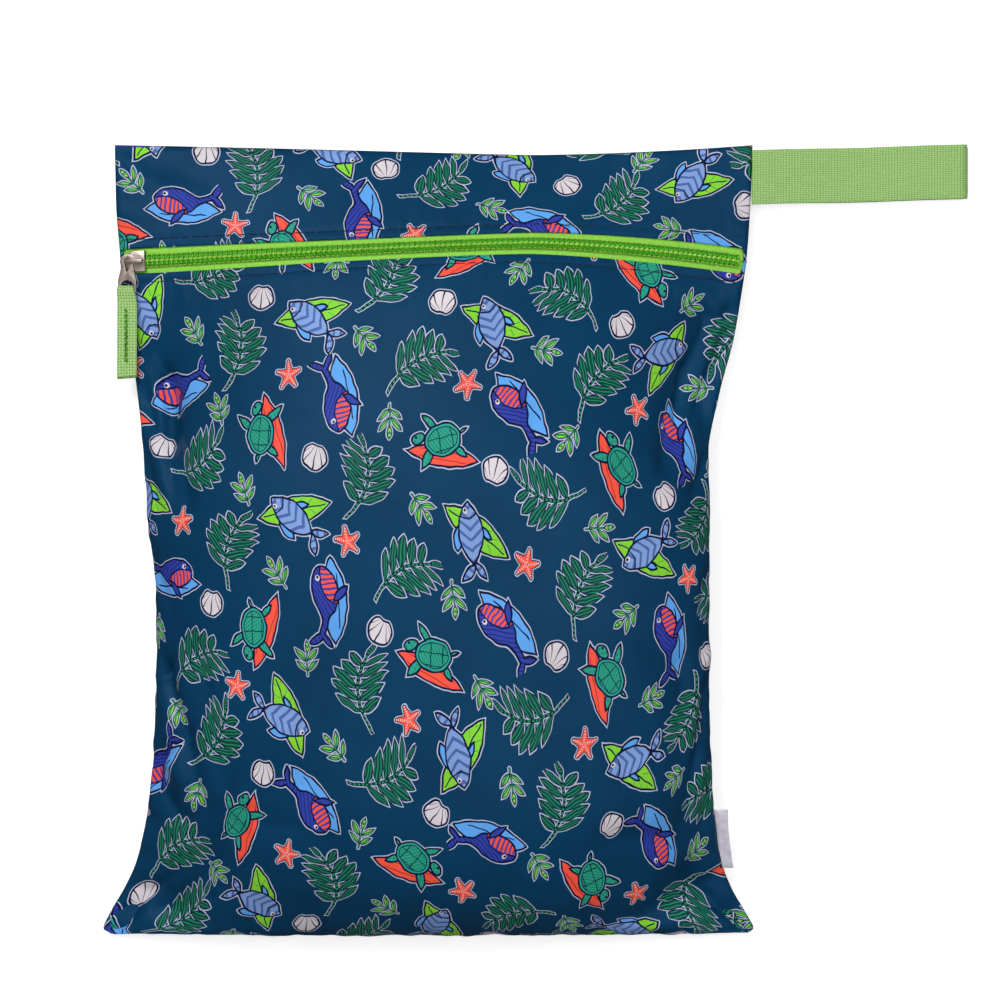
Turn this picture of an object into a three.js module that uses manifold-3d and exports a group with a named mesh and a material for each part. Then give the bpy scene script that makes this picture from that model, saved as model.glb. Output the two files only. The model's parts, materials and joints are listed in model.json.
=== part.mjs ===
// A lightly filled cloth wet bag that lies on its back, with a coil zip across its front, a metal
// slider and pull, a webbing tab, a folded webbing hang strap and a small satin label.
// Millimetres. +X runs to the right across the front, +Y to the top seam, +Z up from the surface.
// The origin is the middle of the flat back, on the surface that the bag lies on.
import * as THREE from "three";
import { mergeVertices } from "three/addons/utils/BufferGeometryUtils.js";
import Module from "manifold-3d";

const wasm = await Module();
wasm.setup();

// Driving sizes of the bag
const bagWidth = 300;
const bagHeight = 365;
const bagThickness = 76;
const clothWall = 1.2;
const clearance = 0.3;

// Driving sizes of the zip
const tapeWidth = 15;
const tapeWall = 1;
const tapeShown = 13;
const zipEndMargin = 2.6;
const coilWidth = 6.2;
const coilHeight = 2;

// Driving sizes of the slider and the pull
const sliderLength = 9;
const sliderWidth = 9.6;
const sliderPlate = 1.1;
const sliderFromSeam = 3.4;
const railWidth = 1;
const dividerLength = 2;
const dividerWidth = 2;
const bridgeWidth = 1.7;
const bridgeBar = 1;
const bridgePost = 1.2;
const bridgeInset = 0.5;
const pullPlate = 1.2;
const pullReach = 14;
const pullWidth = 8.6;
const ringRadius = 3.3;
const ringHoleRadius = 1.5;
const webSlotRadius = 3.2;
const webSlotFromPivot = 11.8;
const slotDrop = 0.6;
const slotBarWidth = 1.6;
const tabWidth = 9.6;
const tabLength = 42;
const tabWall = 1.1;

// Driving sizes of the hang strap and the label
const strapWidth = 25;
const strapLength = 99;
const strapWall = 1.3;
const strapGap = 5.6;
const strapFromTop = 2.4;
const strapRise = 1.65;
const strapDrop = 0.52;
const labelLength = 27;
const labelReach = 4.6;
const labelWall = 1;
const labelFromBottom = 36;

// Facets
const columnsAcross = 30;
const frontRows = 30;
const bandRows = 5;
const backRows = 28;
const zipColumns = 34;
const edgeStep = 0.3;

// The filled bag's sections, from the bottom seam to the top seam.
// cloth: share of the cloth's height. up, upMid: height at the side seams and in the middle, as shares
// of the bag's height. left, right: reach of the side seams, as shares of half the bag's width.
// seam, seamMid: level of the seams and of the sheet between them, crest: level of the front's middle,
// as shares of the thickness. back: how far the back drops below the sheet, as a share of the thickness.
// frontFall, backFall: how the front and the back fall to the side seams, from 0.5 for a round side to
// 2 for a flat ear.
const sections = [
  { cloth: 0, up: 0.008, upMid: 0.0125, left: -0.985, right: 0.975, seam: 0.065, seamMid: 0.3, crest: 0.3, back: 0, frontFall: 1.6, backFall: 1.5 },
  { cloth: 0.022, up: 0.014, upMid: 0.012, left: -1.008, right: 0.992, seam: 0.065, seamMid: 0.3, crest: 0.395, back: 0.1, frontFall: 1.6, backFall: 1.5 },
  { cloth: 0.045, up: 0.034, upMid: 0.0165, left: -0.985, right: 0.965, seam: 0.08, seamMid: 0.31, crest: 0.495, back: 0.2, frontFall: 1.5, backFall: 1.35 },
  { cloth: 0.07, up: 0.06, upMid: 0.0265, left: -0.945, right: 0.925, seam: 0.11, seamMid: 0.32, crest: 0.6, back: 0.29, frontFall: 1.35, backFall: 1.2 },
  { cloth: 0.105, up: 0.094, upMid: 0.05, left: -0.906, right: 0.893, seam: 0.16, seamMid: 0.34, crest: 0.725, back: 0.38, frontFall: 1.1, backFall: 1.1 },
  { cloth: 0.16, up: 0.149, upMid: 0.102, left: -0.872, right: 0.869, seam: 0.24, seamMid: 0.37, crest: 0.85, back: 0.5, frontFall: 0.85, backFall: 0.9 },
  { cloth: 0.22, up: 0.209, upMid: 0.16, left: -0.851, right: 0.858, seam: 0.31, seamMid: 0.39, crest: 0.925, back: 0.58, frontFall: 0.72, backFall: 0.8 },
  { cloth: 0.32, up: 0.313, upMid: 0.278, left: -0.836, right: 0.848, seam: 0.38, seamMid: 0.42, crest: 0.98, back: 0.62, frontFall: 0.66, backFall: 0.75 },
  { cloth: 0.42, up: 0.415, upMid: 0.395, left: -0.832, right: 0.846, seam: 0.4, seamMid: 0.43, crest: 1, back: 0.64, frontFall: 0.64, backFall: 0.75 },
  { cloth: 0.52, up: 0.515, upMid: 0.515, left: -0.857, right: 0.849, seam: 0.37, seamMid: 0.43, crest: 0.995, back: 0.64, frontFall: 0.66, backFall: 0.75 },
  { cloth: 0.61, up: 0.605, upMid: 0.62, left: -0.877, right: 0.848, seam: 0.3, seamMid: 0.41, crest: 0.95, back: 0.6, frontFall: 0.78, backFall: 0.8 },
  { cloth: 0.69, up: 0.685, upMid: 0.71, left: -0.9, right: 0.884, seam: 0.2, seamMid: 0.37, crest: 0.86, back: 0.54, frontFall: 1.25, backFall: 0.9 },
  { cloth: 0.76, up: 0.757, upMid: 0.785, left: -0.925, right: 0.93, seam: 0.16, seamMid: 0.335, crest: 0.75, back: 0.48, frontFall: 1.5, backFall: 0.8 },
  { cloth: 0.82, up: 0.818, upMid: 0.8432, left: -0.95, right: 0.955, seam: 0.165, seamMid: 0.3, crest: 0.625, back: 0.42, frontFall: 1.8, backFall: 0.72 },
  { cloth: 0.855, up: 0.8515, upMid: 0.8722, left: -0.953, right: 0.967, seam: 0.17, seamMid: 0.275, crest: 0.54, back: 0.38, frontFall: 1.8, backFall: 0.72 },
  { cloth: 0.925, up: 0.922, upMid: 0.929, left: -0.967, right: 0.98, seam: 0.15, seamMid: 0.235, crest: 0.375, back: 0.26, frontFall: 1.8, backFall: 0.72 },
  { cloth: 1, up: 1, upMid: 0.9865, left: -0.972, right: 0.988, seam: 0.12, seamMid: 0.2, crest: 0.2, back: 0, frontFall: 1.9, backFall: 1 },
];
const zipAt = 0.855;
const crownPower = 2.4;
const bowPower = 1.35;
const bowSkew = 0.32;

// Folds and dents of the front: where each starts and ends, as shares of the cloth's width and height,
// and its width and depth, as shares of the bag's thickness. A negative depth is a ridge.
const folds = [
  { across: 0.055, up: 0.7, toAcross: 0.095, toUp: 0.56, width: 0.12, depth: 0.06 },
  { across: 0.11, up: 0.36, toAcross: 0.16, toUp: 0.22, width: 0.12, depth: 0.05 },
  { across: 0.95, up: 0.77, toAcross: 0.9, toUp: 0.6, width: 0.12, depth: 0.06 },
  { across: 0.92, up: 0.36, toAcross: 0.93, toUp: 0.18, width: 0.11, depth: 0.045 },
  { across: 0.1, up: 0.04, toAcross: 0.17, toUp: 0.16, width: 0.16, depth: 0.07 },
  { across: 0.84, up: 0.05, toAcross: 0.94, toUp: 0.1, width: 0.14, depth: 0.07 },
  { across: 0.84, up: 0.025, toAcross: 0.97, toUp: 0.045, width: 0.12, depth: -0.04 },
  { across: 0.05, up: 0.975, toAcross: 0.12, toUp: 0.93, width: 0.14, depth: 0.03 },
];

// A smooth curve that never overshoots, through one column of the sections
function sectionCurve(column) {
  const at = sections.map((row) => row.cloth);
  const value = sections.map((row) => row[column]);
  const slope = at.slice(1).map((a, i) => (value[i + 1] - value[i]) / (a - at[i]));
  const tangent = value.map((_, i) => {
    if (i === 0) return slope[0];
    if (i === value.length - 1) return slope[i - 1];
    if (slope[i - 1] * slope[i] <= 0) return 0;
    return (2 * slope[i - 1] * slope[i]) / (slope[i - 1] + slope[i]);
  });
  return (cloth) => {
    let i = 0;
    while (i < at.length - 2 && cloth > at[i + 1]) i += 1;
    const step = at[i + 1] - at[i];
    const t = THREE.MathUtils.clamp((cloth - at[i]) / step, 0, 1);
    const rise = t * t * (3 - 2 * t);
    return (
      value[i] * (1 - rise) +
      value[i + 1] * rise +
      step * (tangent[i] * t * (1 - t) * (1 - t) - tangent[i + 1] * t * t * (1 - t))
    );
  };
}

const curves = {};
for (const column of Object.keys(sections[0])) curves[column] = sectionCurve(column);
const { lerp, clamp } = THREE.MathUtils;

// A point of the cloth's inner face before its folds. across runs from -1 at the left side seam to 1.
function plainPoint(side, across, cloth) {
  const hump = 1 - Math.pow(Math.abs(across), crownPower);
  const x = (lerp(curves.left(cloth), curves.right(cloth), (across + 1) / 2) * bagWidth) / 2;
  const bow = 1 - Math.pow(Math.abs((across - bowSkew) / (1 - bowSkew * across)), bowPower);
  const y = (lerp(curves.up(cloth), curves.upMid(cloth), bow) - 0.5) * bagHeight;
  const sheet = lerp(curves.seam(cloth), curves.seamMid(cloth), hump) * bagThickness;
  if (side === "front") {
    const rise = (curves.crest(cloth) - curves.seamMid(cloth)) * bagThickness;
    return new THREE.Vector3(x, y, sheet + clearance / 2 + rise * Math.pow(hump, curves.frontFall(cloth)));
  }
  const drop = curves.back(cloth) * bagThickness * Math.pow(hump, curves.backFall(cloth));
  return new THREE.Vector3(x, y, Math.max(clothWall, sheet - clearance / 2 - drop));
}

// Where a share of the cloth's width lies between the side seams, with the cloth measured along its curve
const measureSteps = 48;
function acrossAt(side, share, cloth) {
  const stops = [{ across: -1, length: 0 }];
  let last = plainPoint(side, -1, cloth);
  for (let i = 1; i <= measureSteps; i += 1) {
    const across = -Math.cos((Math.PI * i) / measureSteps);
    const point = plainPoint(side, across, cloth);
    stops.push({ across, length: stops[i - 1].length + point.distanceTo(last) });
    last = point;
  }
  const wanted = clamp(share, 0, 1) * stops[measureSteps].length;
  let i = 1;
  while (i < measureSteps && stops[i].length < wanted) i += 1;
  const part = (wanted - stops[i - 1].length) / (stops[i].length - stops[i - 1].length);
  return lerp(stops[i - 1].across, stops[i].across, part);
}

// How deep the folds press in at a point of the front
function foldDepth(share, cloth) {
  let depth = 0;
  for (const fold of folds) {
    const start = new THREE.Vector2(fold.across * bagWidth, fold.up * bagHeight);
    const run = new THREE.Vector2(fold.toAcross * bagWidth, fold.toUp * bagHeight).sub(start);
    const from = new THREE.Vector2(share * bagWidth, cloth * bagHeight).sub(start);
    const along = clamp(from.dot(run) / run.lengthSq(), 0, 1);
    const away = from.sub(run.multiplyScalar(along)).length() / (fold.width * bagThickness);
    depth += fold.depth * bagThickness * Math.exp(-away * away);
  }
  const fromSeam = Math.min(share, 1 - share, cloth, 1 - cloth) / 0.05;
  return depth * Math.min(1, fromSeam * fromSeam);
}

const probe = 0.004;
function clothNormal(side, share, cloth) {
  const near = (s, c) => plainPoint(side, acrossAt(side, s, c), c);
  const right = near(share + probe, cloth).sub(near(share - probe, cloth));
  const up = near(share, Math.min(1, cloth + probe)).sub(near(share, Math.max(0, cloth - probe)));
  const normal = right.cross(up).normalize();
  return side === "front" ? normal : normal.negate();
}

// A point at a height over the cloth's inner face, folds included
function clothPoint(side, share, cloth, lift) {
  const point = plainPoint(side, acrossAt(side, share, cloth), cloth);
  const normal = clothNormal(side, share, cloth);
  const press = side === "front" ? foldDepth(share, cloth) : 0;
  const placed = point.addScaledVector(normal, lift - press);
  if (side === "back") placed.z = Math.max(lift > 0 ? 0 : clothWall, placed.z);
  return placed;
}

// Cloth share at a distance above the zip's middle line, or below it if negative
function besideZip(share, distance) {
  const low = plainPoint("front", acrossAt("front", share, zipAt - probe), zipAt - probe);
  const high = plainPoint("front", acrossAt("front", share, zipAt + probe), zipAt + probe);
  return zipAt + (distance * 2 * probe) / low.distanceTo(high);
}

// A closed wall between an inner and an outer face, from a grid of columns and rows
function wallGeometry(columns, rows, pointAt) {
  const points = [];
  const at = (column, row, face) => (column * rows + row) * 2 + face;
  for (let c = 0; c < columns; c += 1) {
    for (let r = 0; r < rows; r += 1) {
      for (const face of [0, 1]) points.push(...pointAt(c, r, face).toArray());
    }
  }
  const faces = [];
  const quad = (a, b, c, d) => faces.push(a, b, c, a, c, d);
  for (let c = 0; c < columns - 1; c += 1) {
    for (let r = 0; r < rows - 1; r += 1) {
      quad(at(c, r, 1), at(c + 1, r, 1), at(c + 1, r + 1, 1), at(c, r + 1, 1));
      quad(at(c, r, 0), at(c, r + 1, 0), at(c + 1, r + 1, 0), at(c + 1, r, 0));
    }
    quad(at(c, 0, 0), at(c + 1, 0, 0), at(c + 1, 0, 1), at(c, 0, 1));
    const top = rows - 1;
    quad(at(c, top, 1), at(c + 1, top, 1), at(c + 1, top, 0), at(c, top, 0));
  }
  for (let r = 0; r < rows - 1; r += 1) {
    const end = columns - 1;
    quad(at(0, r, 1), at(0, r + 1, 1), at(0, r + 1, 0), at(0, r, 0));
    quad(at(end, r, 0), at(end, r + 1, 0), at(end, r + 1, 1), at(end, r, 1));
  }
  const geometry = new THREE.BufferGeometry();
  geometry.setAttribute("position", new THREE.Float32BufferAttribute(points, 3));
  geometry.setIndex(faces);
  return geometry;
}

// manifold-3d solids from three.js geometry, and back
function solidOf(geometry) {
  const bare = geometry.index ? geometry.toNonIndexed() : geometry.clone();
  bare.deleteAttribute("normal");
  bare.deleteAttribute("uv");
  const merged = mergeVertices(bare, 1e-4);
  return new wasm.Manifold(
    new wasm.Mesh({
      numProp: 3,
      vertProperties: merged.attributes.position.array,
      triVerts: new Uint32Array(merged.index.array),
    }),
  );
}

function geometryOf(solid) {
  const mesh = solid.getMesh();
  const geometry = new THREE.BufferGeometry();
  geometry.setAttribute("position", new THREE.BufferAttribute(mesh.vertProperties, mesh.numProp));
  geometry.setIndex(new THREE.BufferAttribute(mesh.triVerts, 1));
  return geometry;
}

function boxSolid(low, high) {
  const size = new THREE.Vector3().subVectors(high, low);
  const middle = new THREE.Vector3().addVectors(low, high).multiplyScalar(0.5);
  return solidOf(new THREE.BoxGeometry(...size.toArray()).translate(...middle.toArray()));
}

// A flat plate with an outline in X and Y, from one level up to another
function plateSolid(shape, low, high, curveSegments = 6) {
  const plate = new THREE.ExtrudeGeometry(shape, { depth: high - low, bevelEnabled: false, curveSegments });
  return solidOf(plate.translate(0, 0, low));
}

// Materials
const printedCloth = new THREE.MeshStandardMaterial({ color: 0x0f3d5e, roughness: 0.6 });
const zipTapeLime = new THREE.MeshStandardMaterial({ color: 0x84c73c, roughness: 0.75 });
const zipCoilLime = new THREE.MeshStandardMaterial({ color: 0x57b51c, roughness: 0.4 });
const webbingGreen = new THREE.MeshStandardMaterial({ color: 0x93c466, roughness: 0.8 });
const sliderMetal = new THREE.MeshStandardMaterial({ color: 0xb7a8a2, roughness: 0.35, metalness: 1 });
const labelSatin = new THREE.MeshStandardMaterial({ color: 0xb9b3bd, roughness: 0.5 });

const bag = new THREE.Group();
function addPiece(name, geometry, material, parent = bag) {
  const mesh = new THREE.Mesh(geometry, material);
  mesh.name = name;
  parent.add(mesh);
  return mesh;
}

// Cloth panels. Past the zip's ends the two front pieces close up to the zip's middle line.
const endShare = zipEndMargin / bagWidth;
const stepShare = edgeStep / bagWidth;
const frontShares = [0, endShare];
for (let i = 0; i <= columnsAcross; i += 1) {
  frontShares.push(lerp(endShare + stepShare, 1 - endShare - stepShare, i / columnsAcross));
}
frontShares.push(1 - endShare, 1);

function zipSide(column, direction) {
  const beyond = column < 2 || column > frontShares.length - 3;
  return besideZip(frontShares[column], direction * (beyond ? clearance / 2 : tapeShown / 2));
}

function panelGeometry(rows, lowAt, highAt, crowd) {
  return wallGeometry(frontShares.length, rows + 1, (column, row, face) => {
    const share = row / rows - (crowd * Math.sin((2 * Math.PI * row) / rows)) / (2 * Math.PI);
    const cloth = lerp(lowAt(column), highAt(column), share);
    return clothPoint("front", frontShares[column], cloth, face * clothWall);
  });
}

// Rows crowd towards the bottom seam, where the cloth turns over, and towards the zip
const frontCrowd = 0.55;
const frontPanel = panelGeometry(frontRows, () => 0, (column) => zipSide(column, -1), frontCrowd);
const topBand = panelGeometry(bandRows, (column) => zipSide(column, 1), () => 1, 0);
const backPanel = wallGeometry(columnsAcross + 1, backRows + 1, (column, row, face) => {
  const cloth = 0.5 - 0.5 * Math.cos((Math.PI * row) / backRows);
  return clothPoint("back", column / columnsAcross, cloth, (1 - face) * clothWall);
});
addPiece("front_panel", frontPanel, printedCloth);
addPiece("top_band", topBand, printedCloth);
addPiece("back_panel", backPanel, printedCloth);

// The slider's own frame: its middle stands on the zip's middle line, on the tapes' upper face
const tapeLift = -clearance;
const sliderShare = (sliderFromSeam + sliderLength / 2) / bagWidth;
const sliderNormal = clothNormal("front", sliderShare, zipAt);
const sliderPlace = clothPoint("front", sliderShare, zipAt, tapeLift);
const zipAhead = clothPoint("front", sliderShare + probe, zipAt, tapeLift);
const sliderAcross = zipAhead.sub(sliderPlace).projectOnPlane(sliderNormal).normalize();
const sliderUp = new THREE.Vector3().crossVectors(sliderNormal, sliderAcross);

// Zip tapes. Towards the left end they part round the slider's divider.
const dividerShare = (sliderFromSeam + dividerLength + 2 * clearance) / bagWidth;
const tapeShares = [];
for (let i = 0; i <= zipColumns; i += 1) tapeShares.push(lerp(endShare, 1 - endShare, i / zipColumns));
tapeShares.splice(1, 0, dividerShare + endShare / 2, dividerShare + endShare / 2 + stepShare);

function partedBy(share) {
  return share <= dividerShare + endShare / 2 ? dividerWidth / 2 + clearance : clearance / 2;
}

function tapeGeometry(direction) {
  const edges = direction > 0 ? [0, 0.5, 1] : [1, 0.5, 0];
  return wallGeometry(tapeShares.length, edges.length, (column, row, face) => {
    const share = tapeShares[column];
    const reach = lerp(partedBy(share), tapeWidth, edges[row]);
    return clothPoint("front", share, besideZip(share, direction * reach), tapeLift - (1 - face) * tapeWall);
  });
}
addPiece("zip_tape_lower", tapeGeometry(-1), zipTapeLime);
addPiece("zip_tape_upper", tapeGeometry(1), zipTapeLime);

// Half of the closed coil: a low bar with rounded shoulders that starts inside the slider
const coilStart = dividerShare + endShare / 2 + 2 * stepShare;
const coilSection = [
  { reach: 0, low: 0, high: 0.82 },
  { reach: 0.3, low: 0, high: 1 },
  { reach: 0.7, low: 0, high: 0.95 },
  { reach: 1, low: 0.2, high: 0.6 },
];
function coilGeometry(direction) {
  const section = direction > 0 ? coilSection : [...coilSection].reverse();
  return wallGeometry(zipColumns + 1, section.length, (column, row, face) => {
    const share = lerp(coilStart, 1 - endShare - 2 * stepShare, column / zipColumns);
    const reach = lerp(clearance / 2, coilWidth / 2, section[row].reach);
    const height = (face ? section[row].high : section[row].low) * coilHeight;
    const cloth = besideZip(share, direction * reach);
    return clothPoint("front", share, cloth, tapeLift + clearance + height);
  });
}
addPiece("zip_coil_lower", coilGeometry(-1), zipCoilLime);
addPiece("zip_coil_upper", coilGeometry(1), zipCoilLime);

// Slider: an upper and a lower plate joined by the divider, side rails, and a bridge over the top
const sliderGroup = new THREE.Group();
sliderGroup.position.copy(sliderPlace);
sliderGroup.quaternion.setFromRotationMatrix(
  new THREE.Matrix4().makeBasis(sliderAcross, sliderUp, sliderNormal),
);
bag.add(sliderGroup);

const upperPlateLow = clearance + coilHeight + clearance;
const upperPlateHigh = upperPlateLow + sliderPlate;
const lowerPlateHigh = -tapeWall - clearance;
const lowerPlateLow = lowerPlateHigh - sliderPlate;
const pullLow = upperPlateHigh + clearance;
const pullHigh = pullLow + pullPlate;
const bridgeLow = pullHigh + clearance;
const bridgeHigh = bridgeLow + bridgeBar;
const halfLength = sliderLength / 2;
const halfWidth = sliderWidth / 2;
const noseHalfWidth = halfWidth * 0.55;
const noseLength = sliderLength * 0.36;
const nearPost = -halfLength + bridgePost / 2 + bridgeInset;
const farPost = halfLength - bridgePost / 2 - bridgeInset;

function shieldShape() {
  const shape = new THREE.Shape();
  shape.moveTo(halfLength, -halfWidth);
  shape.lineTo(halfLength, halfWidth);
  shape.lineTo(-halfLength + noseLength, halfWidth);
  shape.lineTo(-halfLength, noseHalfWidth);
  shape.lineTo(-halfLength, -noseHalfWidth);
  shape.lineTo(-halfLength + noseLength, -halfWidth);
  return shape;
}

function postSolid(middle) {
  const low = new THREE.Vector3(middle - bridgePost / 2, -bridgeWidth / 2, upperPlateHigh);
  const high = new THREE.Vector3(middle + bridgePost / 2, bridgeWidth / 2, bridgeHigh);
  return boxSolid(low, high);
}

function railSolid(direction) {
  const railLow = clearance;
  const inner = direction * (halfWidth - railWidth);
  const outer = direction * halfWidth;
  const low = new THREE.Vector3(-halfLength + noseLength, Math.min(inner, outer), railLow);
  const high = new THREE.Vector3(halfLength, Math.max(inner, outer), upperPlateLow);
  return boxSolid(low, high);
}

const dividerSolid = boxSolid(
  new THREE.Vector3(-halfLength, -dividerWidth / 2, lowerPlateLow),
  new THREE.Vector3(-halfLength + dividerLength, dividerWidth / 2, upperPlateLow),
);
const bridgeSolid = boxSolid(
  new THREE.Vector3(nearPost - bridgePost / 2, -bridgeWidth / 2, bridgeLow),
  new THREE.Vector3(farPost + bridgePost / 2, bridgeWidth / 2, bridgeHigh),
);
const sliderSolid = plateSolid(shieldShape(), upperPlateLow, upperPlateHigh)
  .add(plateSolid(shieldShape(), lowerPlateLow, lowerPlateHigh))
  .add(dividerSolid)
  .add(railSolid(-1))
  .add(railSolid(1))
  .add(bridgeSolid)
  .add(postSolid(nearPost))
  .add(postSolid(farPost));
addPiece("zip_slider", geometryOf(sliderSolid), sliderMetal, sliderGroup);

// Pull: a plate whose ring lies round the bridge's near post, with a slot for the webbing
const pullGroup = new THREE.Group();
const downBag = new THREE.Vector3(0, -1, 0);
pullGroup.position.set(nearPost, 0, 0);
pullGroup.rotation.z = Math.atan2(downBag.dot(sliderAcross), -downBag.dot(sliderUp));
sliderGroup.add(pullGroup);

const neckHalfWidth = ringRadius * 0.8;
const slotFlat = -webSlotFromPivot - slotDrop;
function pullShape() {
  const shape = new THREE.Shape();
  const half = pullWidth / 2;
  shape.moveTo(-half, -pullReach);
  shape.lineTo(half, -pullReach);
  shape.lineTo(half, -webSlotFromPivot + webSlotRadius);
  shape.lineTo(neckHalfWidth, -Math.sqrt(ringRadius ** 2 - neckHalfWidth ** 2));
  const rimAngle = Math.acos(neckHalfWidth / ringRadius);
  shape.absarc(0, 0, ringRadius, -rimAngle, Math.PI + rimAngle, false);
  shape.lineTo(-half, -webSlotFromPivot + webSlotRadius);

  const ringHole = new THREE.Path();
  const tip = -ringRadius * 1.4;
  ringHole.absarc(0, 0, ringHoleRadius, 0, Math.PI, false);
  ringHole.lineTo(-ringHoleRadius * 0.3, tip);
  ringHole.lineTo(ringHoleRadius * 0.3, tip);

  const webSlot = new THREE.Path();
  webSlot.absarc(0, -webSlotFromPivot, webSlotRadius, 0, Math.PI, false);
  webSlot.lineTo(-webSlotRadius, slotFlat);
  webSlot.lineTo(webSlotRadius, slotFlat);
  shape.holes.push(ringHole, webSlot);
  return shape;
}
addPiece("zip_pull", geometryOf(plateSolid(pullShape(), pullLow, pullHigh, 8)), sliderMetal, pullGroup);

// Webbing tab: a fold through the slot, with its two layers stitched together below the slot's bar
const tabTop = slotFlat + clearance + tabWall;
const tabJoin = slotFlat - slotBarWidth - clearance;
const tabEnd = tabTop - tabLength;
const foldHalfWidth = webSlotRadius - clearance;
const layersMiddle = (pullLow + pullHigh) / 2;
function tabBox(halfSpan, bottom, top, low, high) {
  return boxSolid(new THREE.Vector3(-halfSpan, bottom, low), new THREE.Vector3(halfSpan, top, high));
}
const tabSolid = tabBox(tabWidth / 2, tabJoin, tabTop, pullHigh + clearance, pullHigh + clearance + tabWall)
  .add(tabBox(tabWidth / 2, tabJoin, tabTop, pullLow - clearance - tabWall, pullLow - clearance))
  .add(tabBox(foldHalfWidth, slotFlat + clearance, tabTop, pullLow - clearance - tabWall, pullHigh + clearance + tabWall))
  .add(tabBox(tabWidth / 2, tabJoin - tabWall, tabJoin, pullLow - clearance - tabWall, pullHigh + clearance + tabWall))
  .add(tabBox(tabWidth / 2, tabEnd, tabJoin, layersMiddle - tabWall, layersMiddle + tabWall));
addPiece("pull_tab", geometryOf(tabSolid), webbingGreen, pullGroup);

// Hang strap: webbing folded into a flat loop that leaves the side seam and comes down to the surface
const strapMiddle = bagHeight / 2 - strapFromTop - strapWidth / 2;
const strapCloth = 1 - (strapFromTop + strapWidth / 2) / bagHeight;
const seamOuter = (cloth) => {
  const front = clothPoint("front", 1, cloth, clothWall);
  const back = clothPoint("back", 1, cloth, clothWall);
  return Math.max(front.x, back.x);
};
const seamLean = (seamOuter(strapCloth + probe) - seamOuter(strapCloth - probe)) / (2 * probe * bagHeight);
const strapStart = clearance + Math.max(
  ...[-0.5, 0, 0.5].map((t) => {
    const aside = t * strapWidth;
    return seamOuter(strapCloth + aside / bagHeight) - seamLean * aside;
  }),
);
const strapLevel = curves.seam(strapCloth) * bagThickness;
const strapSteps = 12;
const foldSteps = 5;

// Stations along the folded webbing: out along the upper layer, round the far fold and back below.
// Each holds its middle line, the direction that faces out of the loop, and its share of the reach.
const strapTurn = strapGap / 2 + strapWall / 2;
const strapStraight = 1 - (strapTurn + strapWall / 2) / strapLength;
const strapStations = [];
function strapLayer(share, side) {
  const settled = Math.min(1, share / strapDrop);
  const middle = lerp(strapLevel, strapWall + strapGap / 2, settled * settled * (3 - 2 * settled));
  const open = (strapGap / 2) * Math.sin((Math.PI / 2) * settled) ** 2;
  const level = middle + side * (Math.max(clearance, open) + strapWall / 2);
  strapStations.push({ x: share * strapLength, z: level, outX: 0, outZ: side });
}
for (let i = 0; i <= strapSteps; i += 1) strapLayer((strapStraight * i) / strapSteps, 1);
for (let i = 1; i < foldSteps; i += 1) {
  const angle = Math.PI / 2 - (Math.PI * i) / foldSteps;
  const outX = Math.cos(angle);
  const outZ = Math.sin(angle);
  const x = strapStraight * strapLength + strapTurn * outX;
  strapStations.push({ x, z: strapWall + strapGap / 2 + strapTurn * outZ, outX, outZ });
}
for (let i = strapSteps; i >= 0; i -= 1) strapLayer((strapStraight * i) / strapSteps, -1);

const strapSlope = Math.tan(THREE.MathUtils.degToRad(strapRise));
const strapGeometry = wallGeometry(strapStations.length, 2, (column, row, face) => {
  const station = strapStations[column];
  const aside = (row - 0.5) * strapWidth;
  const out = (face - 0.5) * strapWall;
  const lean = seamLean * aside * (1 - station.x / strapLength);
  const x = strapStart + station.x + station.outX * out + lean;
  return new THREE.Vector3(x, strapMiddle + aside + station.x * strapSlope, station.z + station.outZ * out);
});
addPiece("hang_strap", strapGeometry, webbingGreen);

// Satin label: a folded strip that leaves the right side seam near the bottom
const labelSteps = 6;
const labelAcross = [0, 0.5, 1];
const labelLow = labelFromBottom / bagHeight;
const labelHigh = (labelFromBottom + labelLength) / bagHeight;
const labelGeometry = wallGeometry(labelAcross.length, labelSteps + 1, (column, row, face) => {
  const cloth = lerp(labelLow, labelHigh, row / labelSteps);
  const edge = clothPoint("front", 1, cloth, clothWall);
  const x = seamOuter(cloth) + clearance + labelAcross[column] * labelReach;
  const level = edge.z - clothWall / 2 + (face - 0.5) * labelWall;
  return new THREE.Vector3(x, edge.y, level);
});
addPiece("side_label", labelGeometry, labelSatin);

export default bag;
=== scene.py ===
import json
import math

import bmesh
import bpy
import numpy as np
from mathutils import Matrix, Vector


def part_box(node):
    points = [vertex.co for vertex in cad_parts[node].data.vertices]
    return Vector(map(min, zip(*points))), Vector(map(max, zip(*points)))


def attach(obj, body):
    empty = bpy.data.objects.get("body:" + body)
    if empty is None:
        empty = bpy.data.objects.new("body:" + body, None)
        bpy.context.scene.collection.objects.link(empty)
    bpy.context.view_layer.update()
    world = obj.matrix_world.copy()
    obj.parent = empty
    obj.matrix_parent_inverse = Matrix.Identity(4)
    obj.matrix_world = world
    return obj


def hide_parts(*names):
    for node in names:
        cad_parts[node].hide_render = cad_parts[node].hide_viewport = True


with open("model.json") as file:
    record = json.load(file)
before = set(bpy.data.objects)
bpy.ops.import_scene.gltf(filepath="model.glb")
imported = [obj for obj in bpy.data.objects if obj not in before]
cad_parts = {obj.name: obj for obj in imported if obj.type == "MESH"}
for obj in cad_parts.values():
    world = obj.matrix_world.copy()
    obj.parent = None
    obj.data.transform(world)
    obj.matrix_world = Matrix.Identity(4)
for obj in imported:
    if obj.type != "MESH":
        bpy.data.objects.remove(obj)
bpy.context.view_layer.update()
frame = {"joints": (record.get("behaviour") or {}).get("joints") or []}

scene = bpy.context.scene
scene.view_settings.view_transform = "Standard"

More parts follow.
